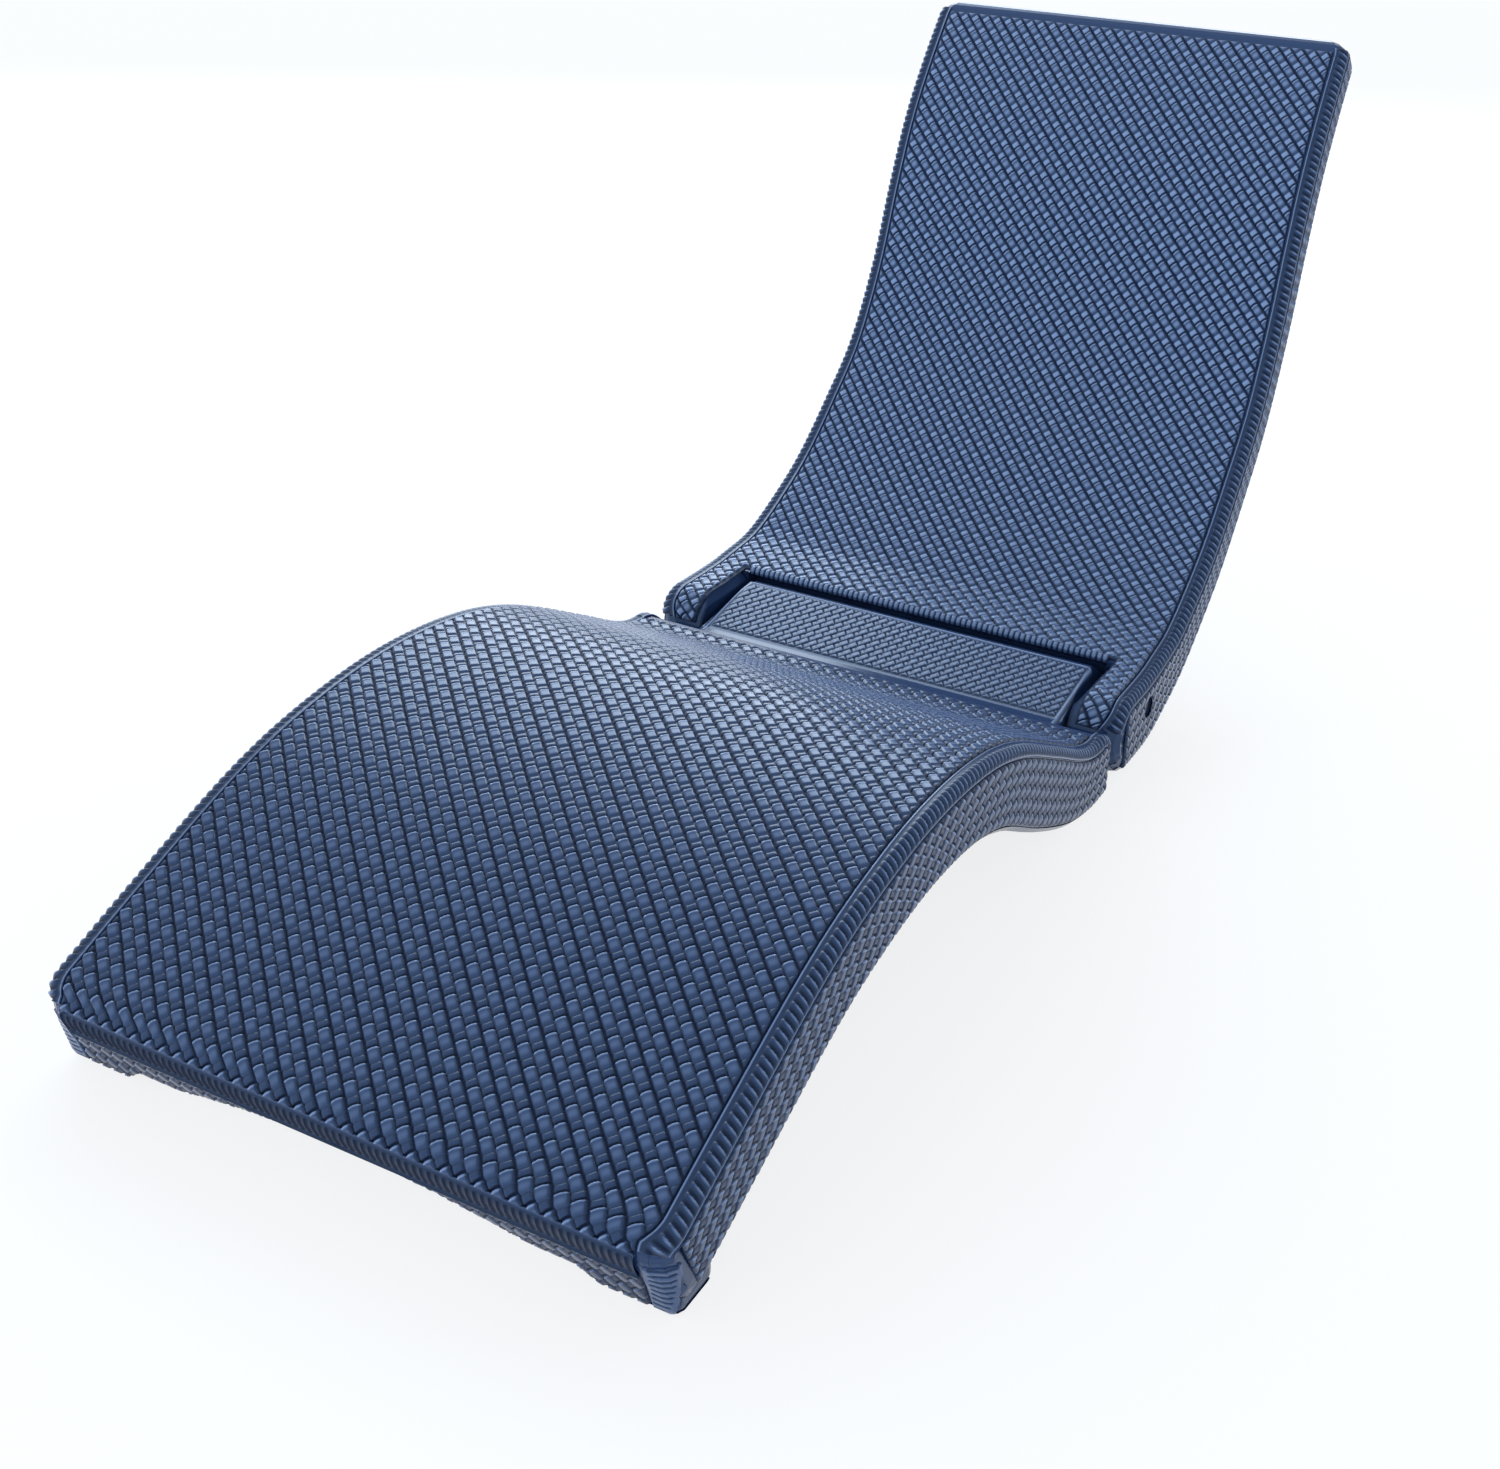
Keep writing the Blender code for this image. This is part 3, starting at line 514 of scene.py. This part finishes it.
def cell_grid(cells_across, cells_along, steps):
    """Places counted in cells across and along a sheet, and a fade that is 0 on its borders."""
    across, along = np.meshgrid(
        np.arange(cells_across * steps + 1) / steps, np.arange(cells_along * steps + 1) / steps)
    side_fade = np.clip(np.minimum(across, cells_across - across) / border_width, 0, 1)
    end_fade = np.clip(np.minimum(along, cells_along - along) / border_width, 0, 1)
    return across, along, side_fade * end_fade


# Groove colour: painted shade. Rise colour: painted highlight.
navy_woven = navy_plastic("navy_plastic_woven", (0.0008, 0.005, 0.028), (0.200, 0.265, 0.420))
seat_low = seat_thickness / 2 - floor_flat
seat_points = [
    (hinge_y - ahead * seat_reach, seat_low + rise * knee_rise, thick * seat_thickness)
    for ahead, rise, thick in seat_shares
]
seat_points.append((hinge_y - ear_reach - nose_gap, seat_low, seat_thickness))
seat_line = smooth_line(seat_points)
seat_outline = outline_of(seat_line, foot_end_radius, seat_thickness / 2)
run_start = seat_outline["first"] - seat_before_face
run_end = seat_outline["last"] + seat_after_face
cells_along = round((run_end - run_start) / weave_cell)
across, along, fade = cell_grid(seat_cells_across, cells_along, steps_per_cell)
y, z, _, _ = on_outline(seat_outline, run_start + along * (run_end - run_start) / cells_along)
x = (across / seat_cells_across * 2 - 1) * (seat_half(y) - weave_margin)
relief, painted_shading = woven(across - seat_cells_across / 2, along, deep=1.0, thin=0.5)
height = weave_floor + relief * fade * weave_depth
# At the sheet's borders its shading falls to the grooves' painted shade.
relief_piece("seat_weave", "seat", np.stack([x, y, z], axis=-1), height, painted_shading * fade)

# Back, woven front face: the same moulded strands a little larger, with more painted highlight on
# their blocks. They run round the noses of the ears and leave the notch free, where the tongue lies.
back_rise = 0.6229
ear_thickness = 0.087
ear_nose_radius = ear_thickness / 2
top_end_radius = 0.017
top_corner_radius = 0.026
back_cell = 0.0160
back_cells_across = 33
back_before_face, back_after_face = 0.052, -0.003
notch_half = 0.228
notch_rear = 0.2138
notch_margin, notch_cut, notch_fade = 0.010, 0.008, 0.002
back_shares = (
    (0.000, 0.000, 1.00), (0.088, 0.012, 0.93), (0.190, 0.036, 0.83), (0.300, 0.091, 0.771),
    (0.400, 0.1545, 0.740), (0.5065, 0.249, 0.709), (0.614, 0.360, 0.683), (0.700, 0.511, 0.662),
    (0.760, 0.667, 0.647), (0.8165, 0.795, 0.631), (0.8875, 0.904, 0.616), (0.9766, 1.0177, 0.600),
)
ear_low = ear_thickness / 2 - floor_flat
back_points = [(hinge_y - ear_reach, ear_low, ear_thickness)]
back_points += [
    (hinge_y + ahead * back_reach, ear_low + rise * back_rise, thick * ear_thickness)
    for ahead, rise, thick in back_shares
]
back_line = smooth_line(back_points)
back_outline = outline_of(back_line, ear_nose_radius, top_end_radius)


def back_half(y, z):
    """Half the back's width in plan."""
    ahead = back_line[-1, :2] - back_line[-2, :2]
    ahead = ahead / np.linalg.norm(ahead)
    to_top = (back_line[-1, 0] - y) * ahead[0] + (back_line[-1, 1] - z) * ahead[1]
    top_loss = np.where(z > back_rise / 2, corner_loss(to_top, top_corner_radius), 0)
    return half_width(y) - top_loss - corner_loss(y - hinge_y + ear_reach, nose_corner_radius)


run_start = back_outline["first"] - back_before_face
run_end = back_outline["last"] + back_after_face
cells_along = round((run_end - run_start) / back_cell)
across, along, fade = cell_grid(back_cells_across, cells_along, steps_per_cell)
y, z, _, _ = on_outline(back_outline, run_start + along * (run_end - run_start) / cells_along)
x = (across / back_cells_across * 2 - 1) * (back_half(y, z) - weave_margin)
relief, painted_shading = woven(across - back_cells_across / 2, along, deep=1.0, thin=1.0, painted_highlight=0.78)
from_notch = np.maximum(np.abs(x) - notch_half, y - notch_rear)
fade = fade * np.clip((from_notch - notch_margin) / notch_fade, 0, 1)
height = weave_floor + relief * fade * weave_depth
kept = from_notch[:-1, :-1] > notch_cut
# At the borders and round the notch its shading falls to the grooves' painted shade.
relief_piece("back_weave", "back", np.stack([x, y, z], axis=-1), height, painted_shading * fade, kept)

# Long edges of both mouldings: a thin raised line beside the weave, a row of slanted beads
# sunk between smooth bands, and a second line, all moulded in one with the shell.
edge_radius = 0.014
bead_pitch = 0.0082
bead_slant = 0.35
bead_depth = 0.0030
bead_from, bead_to = 0.0030, 0.0168
bead_rise, bead_fall = 0.72, 0.20
inner_line_at, outer_line_at, edge_line_width = -0.0011, 0.0176, 0.0008
inner_line_height, outer_line_height = 0.0010, 0.0008
edge_floor = 0.0001
# Painted shading: bands and the sunk row darker as painted shade, lines and bead crests lighter as painted
# highlight.
edge_shade, sunk_shade, bead_highlight = 0.22, 0.30, 1.05
inner_line_highlight, outer_line_highlight = 0.8, 0.7
seat_edge_before, seat_edge_after = 0.021, 0.040
back_edge_before, back_edge_after = 0.052, 0.004
edge_from, edge_to, edge_step, edge_run_step = -0.0030, 0.0192, 0.0008, 0.0010
seat = {
    "outline": seat_outline,
    "line": seat_line,
    "half": foot_width / 2,
    "half_at": lambda y, z: seat_half(y),
}
back = {
    "outline": back_outline,
    "line": back_line,
    "half": hinge_width / 2,
    "half_at": back_half,
}


def edge_places(mould, run, reach):
    """Places over the right edge: along the outline, and round from the top face outwards."""
    y, z, ny, nz = on_outline(mould["outline"], run)
    turn = np.clip(reach / edge_radius, 0, math.pi / 2)
    drop = edge_radius * (1 - np.cos(turn)) + np.maximum(reach - edge_radius * math.pi / 2, 0)
    inward = edge_radius * (1 - np.sin(turn)) + np.maximum(-reach, 0)
    y, z = y - ny * drop, z - nz * drop
    x = (mould["half"] - inward) * mould["half_at"](y, z) / mould["half"]
    return np.stack([x, y, z], axis=-1)


def beaded(run, reach):
    """Height and painted shading of the moulded edge."""
    inner = bell(reach - inner_line_at, edge_line_width)
    outer = bell(reach - outer_line_at, edge_line_width)
    share = np.clip((reach - bead_from) / (bead_to - bead_from), 0, 1)
    swell = np.sin(math.pi * share)**0.4
    phase = (run + bead_slant * (reach - bead_from)) / bead_pitch
    phase = phase - np.floor(phase)
    bead = swell * np.clip(phase / bead_rise, 0, 1) * np.clip((1 - phase) / bead_fall, 0, 1)
    height = edge_floor + inner_line_height * inner + outer_line_height * outer + bead_depth * bead
    painted_shading = edge_shade + inner_line_highlight * inner + outer_line_highlight * outer
    painted_shading = painted_shading - sunk_shade * swell + bead_highlight * bead**2
    return height, np.clip(painted_shading, 0, 1)


def both_sides(name, body, base, height, painted_shading, kept=None):
    """The same sheet on the right edge and, mirrored, on the left edge."""
    relief_piece(name + "_right", body, base, height, painted_shading, kept)
    mirrored = base[:, ::-1] * np.array([-1, 1, 1])
    flipped = None if kept is None else kept[:, ::-1]
    relief_piece(name + "_left", body, mirrored, height[:, ::-1], painted_shading[:, ::-1], flipped)


for name, mould, body, before, after in (
    ("seat_edge", seat, "seat", seat_edge_before, seat_edge_after),
    ("back_edge", back, "back", back_edge_before, back_edge_after),
):
    run_from = mould["outline"]["first"] - before
    run_to = mould["outline"]["last"] + after
    reach, run = np.meshgrid(
        np.arange(edge_from, edge_to, edge_step), np.arange(run_from, run_to, edge_run_step))
    height, painted_shading = beaded(run, reach)
    both_sides(name, body, edge_places(mould, run, reach), height, painted_shading)

# Side faces of both mouldings: the same weave, shallower and in five narrow rows, between the
# edge line and a smooth band along the underside, and open round the hinge caps.
side_cells = 5
side_top = 0.0116
side_low = 0.0090
side_depth_share = 0.6
side_floor_share = 0.5
cap_opening = 0.0116
cap_opening_fade = 0.002
hinge_height = 0.052


def side_sheet(name, mould, body, near, far, cell):
    """Both woven sides of a moulding, from near its first end to far from its last."""
    line = mould["line"]
    run = run_of(line[:, :2])
    slope = np.gradient(line[:, :2], axis=0)
    slope /= np.linalg.norm(slope, axis=1)[:, None]
    length = run[-1] - far - near
    cells = round(length / cell)
    down, along, fade = cell_grid(side_cells, cells, steps_per_cell)
    distance = near + along * length / cells
    middle_y, middle_z, thick = (np.interp(distance, run, row) for row in line.T)
    slope_y, slope_z = (np.interp(distance, run, row) for row in slope.T)
    steep = np.hypot(slope_y, slope_z)
    offset = thick / 2 - side_top - (thick - side_top - side_low) * down / side_cells
    y = middle_y - slope_z / steep * offset
    z = middle_z + slope_y / steep * offset
    inside = np.clip(thick / 2 - np.abs(offset), 0, edge_radius)
    bulge = np.sqrt(edge_radius**2 - (edge_radius - inside)**2)
    x = (mould["half"] - edge_radius + bulge) * mould["half_at"](y, z) / mould["half"]
    # Little painted highlight, so that the sides are painted darker, as shade; at the borders and round
    # the cap openings the shading falls to the grooves' painted shade.
    relief, painted_shading = woven(down, along, deep=0.55, thin=0.2, painted_highlight=0.16)
    to_cap = np.hypot(y - hinge_y, z - hinge_height) - cap_opening
    fade = fade * np.clip(to_cap / cap_opening_fade, 0, 1)
    height = weave_floor * side_floor_share + relief * fade * weave_depth * side_depth_share
    places = np.stack([x, y, z], axis=-1)
    both_sides(name, body, places, height, painted_shading * fade, to_cap[:-1, :-1] > 0)


side_sheet("seat_side", seat, "seat", near=0.024, far=0.018, cell=weave_cell)
side_sheet("back_side", back, "back", near=0.028, far=0.014, cell=weave_cell)

# Front edge of the seat: a raised line above a smooth band with upright slits, and a second
# line below it, moulded between the two corner caps.
front_half = 0.2720
band_from, band_to, band_step, band_columns = 0.0225, 0.0520, 0.0007, 680
band_floor = 0.0006
upper_line_at, upper_line_width, upper_line_height = 0.0258, 0.0011, 0.0019
lower_line_at, lower_line_width, lower_line_height = 0.0500, 0.0008, 0.0008
slit_pitch = 0.0068
band_slit_width, band_slit_depth = 0.0011, 0.0018
slit_from, slit_to, slit_fade = 0.0285, 0.0475, 0.001
# Painted shading: the band and its slits darker as painted shade, the two lines lighter as painted
# highlight.
band_shade, band_slit_shade = 0.14, 0.65
upper_line_highlight, lower_line_highlight = 0.86, 0.50
reach, x = np.meshgrid(
    np.arange(band_from, band_to, band_step), np.linspace(front_half, -front_half, band_columns))
y, z, _, _ = on_outline(seat_outline, seat_outline["first"] - reach)
upper = bell(reach - upper_line_at, upper_line_width)
lower = bell(reach - lower_line_at, lower_line_width)
to_slit = np.abs(x / slit_pitch - np.round(x / slit_pitch)) * slit_pitch
slit_ends = np.clip((reach - slit_from) / slit_fade, 0, 1) * np.clip((slit_to - reach) / slit_fade, 0, 1)
slit = bell(to_slit, band_slit_width) * slit_ends
height = band_floor + upper_line_height * upper + lower_line_height * lower - band_slit_depth * slit
painted_shading = band_shade + upper_line_highlight * upper + lower_line_highlight * lower - band_slit_shade * slit
places = np.stack([x, y, z], axis=-1)
relief_piece("seat_front_band", "seat", places, height, np.clip(painted_shading, 0, 1))

# Foot end of the seat, below the band: a face of small woven blocks between the two feet. It is
# laid on the solid itself, found by rays from in front.
face_cell = 0.0125
face_low, face_high = 0.002, 0.0410
face_steps_per_cell = 8
face_depth_share = 0.45
face_shade_share = 0.8
face_ray_from, face_ray_reach = -0.85, 0.0805
seat_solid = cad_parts["seat_shell"].data
seat_tree = BVHTree.FromPolygons(
    [vertex.co for vertex in seat_solid.vertices], [polygon.vertices for polygon in seat_solid.polygons])


def probed(starts, ways, reach):
    """Where rays from the starts meet the seat, or their far ends where they miss it, and the
    quads whose four corners are all met."""
    places = starts + ways * reach
    met = np.zeros(starts.shape[:-1], dtype=bool)
    for index in np.ndindex(met.shape):
        hit = seat_tree.ray_cast(Vector(starts[index]), Vector(ways[index]), reach)[0]
        if hit is not None:
            places[index] = hit
            met[index] = True
    return places, met[:-1, :-1] & met[1:, :-1] & met[:-1, 1:] & met[1:, 1:]


cells_across = round(2 * front_half / face_cell)
cells_up = round((face_high - face_low) / face_cell)
across, up, fade = cell_grid(cells_across, cells_up, face_steps_per_cell)
x = (across / cells_across * 2 - 1) * front_half
z = face_low + up * (face_high - face_low) / cells_up
starts = np.stack([x, np.full(x.shape, face_ray_from), z], axis=-1)
ways = np.broadcast_to(np.array([0.0, 1.0, 0.0]), starts.shape)
places, kept = probed(starts, ways, face_ray_reach)
# Little painted highlight, and the whole face's shading lowered by a share, as painted shade.
relief, painted_shading = woven(across, up, deep=0.55, thin=0.2, painted_highlight=0.16)
height = weave_floor * side_floor_share + relief * fade * weave_depth * face_depth_share
relief_piece("seat_front_face", "seat", places, height, painted_shading * fade * face_shade_share, kept)

# Caps on the two lower front corners of the seat: smooth, moulded in one with it, with level
# grooves one above another. They are laid on the solid round its corner radius.
corner_from, corner_to, corner_columns = -86, -4, 70
corner_low, corner_high, corner_step = 0.0022, 0.0545, 0.0004
corner_ray_reach = 0.06
corner_floor = 0.0006
groove_pitch, groove_width, groove_depth = 0.0060, 0.0008, 0.0009
groove_sag = 0.0012
groove_half_angle, groove_angle_fade = math.radians(32), 0.1
corner_shade, groove_shade = 0.62, 0.55
angle, z = np.meshgrid(
    np.radians(np.linspace(corner_from, corner_to, corner_columns)),
    np.arange(corner_low, corner_high, corner_step))
spoke = np.stack([np.cos(angle), np.sin(angle), np.zeros(angle.shape)], axis=-1)
corner_x = np.full(z.shape, foot_width / 2 - foot_corner_radius)
corner_y = np.full(z.shape, hinge_y - seat_reach + foot_corner_radius)
corner = np.stack([corner_x, corner_y, z], axis=-1)
places, kept = probed(corner + spoke * corner_ray_reach, -spoke, corner_ray_reach)
from_middle = angle + math.pi / 4
sagged = z + groove_sag * np.cos(2 * from_middle)
to_groove = np.abs(sagged / groove_pitch - np.round(sagged / groove_pitch)) * groove_pitch
groove = bell(to_groove, groove_width)
groove = groove * np.clip((groove_half_angle - np.abs(from_middle)) / groove_angle_fade, 0, 1)
height = corner_floor - groove * groove_depth
# The grooves are painted darker, as shade; the rest of each cap is a little lighter than plain navy.
both_sides("seat_corner", "seat", places, height, corner_shade - groove_shade * groove, kept)

# Tongue of the seat, between the ears: a raised rim round smaller woven blocks, and a smooth
# strip where it leaves the seat. It is moulded in one with the seat and laid on it from above.
tongue_half = 0.2205
tongue_from, tongue_to, tongue_step, tongue_columns = 0.0800, 0.2030, 0.0011, 421
tongue_weave_half = 0.2135
tongue_weave_from, tongue_weave_to = 0.1050, 0.1950
tongue_cell_across, tongue_cell_along = 0.01095, 0.0137
tongue_ray_from, tongue_ray_reach = 0.15, 0.11
tongue_sink, tongue_depth, tongue_fade = -0.0004, 0.0015, 0.0015
rim_at, rim_width, rim_height = 0.0030, 0.0013, 0.0014
rim_from, rim_fade = 0.088, 0.004
step_at, step_width = 0.1045, 0.0007
step_shade, rim_highlight = 0.35, 0.6
x, y = np.meshgrid(
    np.linspace(-tongue_half, tongue_half, tongue_columns), np.arange(tongue_from, tongue_to, tongue_step))
starts = np.stack([x, y, np.full(x.shape, tongue_ray_from)], axis=-1)
ways = np.broadcast_to(np.array([0.0, 0.0, -1.0]), starts.shape)
places, kept = probed(starts, ways, tongue_ray_reach)
across = (x + tongue_weave_half) / tongue_cell_across
along = (y - tongue_weave_from) / tongue_cell_along
relief, painted_shading = woven(-across, along, deep=0.6, thin=0.5, painted_highlight=0.45)
inside = np.minimum(tongue_weave_half - np.abs(x), np.minimum(y - tongue_weave_from, tongue_weave_to - y))
fade = np.clip(inside / tongue_fade, 0, 1)
from_weave = np.maximum(np.abs(x) - tongue_weave_half, y - tongue_weave_to)
rim = bell(from_weave - rim_at, rim_width) * np.clip((y - rim_from) / rim_fade, 0, 1)
step = bell(y - step_at, step_width) * (np.abs(x) < tongue_weave_half)
# Painted shading: a painted highlight on the rim, painted shade along the step and at the weave's edges,
# and some painted highlight on the blocks.
painted_shading = np.where(inside > 0, painted_shading * fade, strand_level - step_shade * step) + rim_highlight * rim
height = tongue_sink + tongue_depth * relief * fade + rim_height * rim
relief_piece("seat_tongue", "seat", places, height, np.clip(painted_shading, 0, 1), kept)

# Lip of the notch in the back, over the end of the tongue: a roll of short beads from ear to
# ear, moulded in one with the back. It stays clear of the tongue as the back folds.
lip_y, lip_z, lip_radius = 0.2232, 0.0850, 0.0060
lip_sink, lip_bead_depth = 0.0012, 0.0016
lip_pitch = 0.0066
lip_gap_width = 0.30
lip_columns, lip_rows = 900, 26
lip_under_angle, lip_over_angle = 215, 60
roll_shade, roll_bead_highlight = 0.10, 0.75
x, angle = np.meshgrid(
    np.linspace(-notch_half, notch_half, lip_columns),
    np.radians(np.linspace(lip_under_angle, lip_over_angle, lip_rows)))
from_bead = np.abs(x / lip_pitch - np.round(x / lip_pitch)) * 2
swell = np.sin(np.linspace(0, math.pi, lip_rows))[:, None]**0.35
bead = (1 - bell(1 - from_bead, lip_gap_width)) * swell
radius = lip_radius - lip_sink + lip_bead_depth * bead
places = np.stack([x, lip_y + radius * np.cos(angle), lip_z + radius * np.sin(angle)], axis=-1)
# Painted shading: the beads lighter as painted highlight, the roll between them darker as painted shade.
painted_shading = np.clip(roll_shade + roll_bead_highlight * bead, 0, 1)
relief_piece("back_notch_lip", "back", places, np.zeros(x.shape), painted_shading)

# Hinge rod: stainless steel, brushed along its length. It runs through the ears and the tongue,
# and stays the solid itself.
rod_along, rod_round = 8.0, 900.0
rod_least_rough, rod_most_rough = 0.22, 0.42
rod_paint = bpy.data.materials.new("brushed_steel")
rod_paint.use_nodes = True
rod_nodes, rod_links = rod_paint.node_tree.nodes, rod_paint.node_tree.links
rod_shader = rod_nodes["Principled BSDF"]
rod_shader.inputs["Base Color"].default_value = (0.56, 0.57, 0.58, 1)
rod_shader.inputs["Metallic"].default_value = 1.0
rod_place = rod_nodes.new("ShaderNodeTexCoord")
rod_stretch = rod_nodes.new("ShaderNodeMapping")
rod_stretch.inputs["Scale"].default_value = (rod_along, rod_round, rod_round)
rod_noise = rod_nodes.new("ShaderNodeTexNoise")
rod_noise.inputs["Scale"].default_value = 1.0
rod_range = ranged(rod_nodes, 0.0, 1.0, rod_least_rough, rod_most_rough)
rod_links.new(rod_place.outputs["Object"], rod_stretch.inputs["Vector"])
rod_links.new(rod_stretch.outputs["Vector"], rod_noise.inputs["Vector"])
rod_links.new(rod_noise.outputs["Fac"], rod_range.inputs["Value"])
rod_links.new(rod_range.outputs["Result"], rod_shader.inputs["Roughness"])


def painted(node, paint):
    """Gives a node that stays as it is its material."""
    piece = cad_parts[node]
    piece.data.materials.clear()
    piece.data.materials.append(paint)


painted("hinge_rod", rod_paint)

# Hinge caps, sunk in the ears over the rod's ends, and the screwed-in fill plugs of the two
# hollows: satin, near-black navy plastic with a fine moulded grain.
grain_bump = 0.0002
grain_group = bpy.data.node_groups.new("moulded_grain", "ShaderNodeTree")
for socket_name in ("Grain", "Least Rough", "Most Rough"):
    grain_group.interface.new_socket(socket_name, in_out="INPUT", socket_type="NodeSocketFloat")
for socket_name in ("Roughness", "Height"):
    grain_group.interface.new_socket(socket_name, in_out="OUTPUT", socket_type="NodeSocketFloat")
grain_in = grain_group.nodes.new("NodeGroupInput")
grain_out = grain_group.nodes.new("NodeGroupOutput")
grain_place = grain_group.nodes.new("ShaderNodeTexCoord")
grain_noise = grain_group.nodes.new("ShaderNodeTexNoise")
grain_rough = ranged(grain_group.nodes, 0.0, 1.0)
grain_group.links.new(grain_place.outputs["Object"], grain_noise.inputs["Vector"])
grain_group.links.new(grain_in.outputs["Grain"], grain_noise.inputs["Scale"])
grain_group.links.new(grain_noise.outputs["Fac"], grain_rough.inputs["Value"])
grain_group.links.new(grain_in.outputs["Least Rough"], grain_rough.inputs["To Min"])
grain_group.links.new(grain_in.outputs["Most Rough"], grain_rough.inputs["To Max"])
grain_group.links.new(grain_rough.outputs["Result"], grain_out.inputs["Roughness"])
grain_group.links.new(grain_noise.outputs["Fac"], grain_out.inputs["Height"])


def dark_moulding(name, base, least_rough, most_rough, grain, grain_strength):
    """A dark, grained plastic or rubber."""
    paint = bpy.data.materials.new(name)
    paint.use_nodes = True
    nodes, links = paint.node_tree.nodes, paint.node_tree.links
    shader = nodes["Principled BSDF"]
    shader.inputs["Base Color"].default_value = (*base, 1)
    group = nodes.new("ShaderNodeGroup")
    group.node_tree = grain_group
    group.inputs["Grain"].default_value = grain
    group.inputs["Least Rough"].default_value = least_rough
    group.inputs["Most Rough"].default_value = most_rough
    bump = nodes.new("ShaderNodeBump")
    bump.inputs["Strength"].default_value = grain_strength
    bump.inputs["Distance"].default_value = grain_bump
    links.new(group.outputs["Roughness"], shader.inputs["Roughness"])
    links.new(group.outputs["Height"], bump.inputs["Height"])
    links.new(bump.outputs["Normal"], shader.inputs["Normal"])
    return paint


fitting_paint = dark_moulding(
    "fitting_plastic", (0.012, 0.018, 0.036), least_rough=0.30, most_rough=0.48, grain=1400.0,
    grain_strength=0.25)
for node in ("hinge_cap_left", "hinge_cap_right", "seat_fill_plug", "back_fill_plug"):
    painted(node, fitting_paint)

# Seals under the heads of the fill plugs: rings of soft black rubber, squeezed between plug and
# shell.
seal_paint = dark_moulding(
    "seal_rubber", (0.010, 0.010, 0.011), least_rough=0.60, most_rough=0.80, grain=900.0,
    grain_strength=0.40)
for node in ("seat_plug_seal", "back_plug_seal"):
    painted(node, seal_paint)
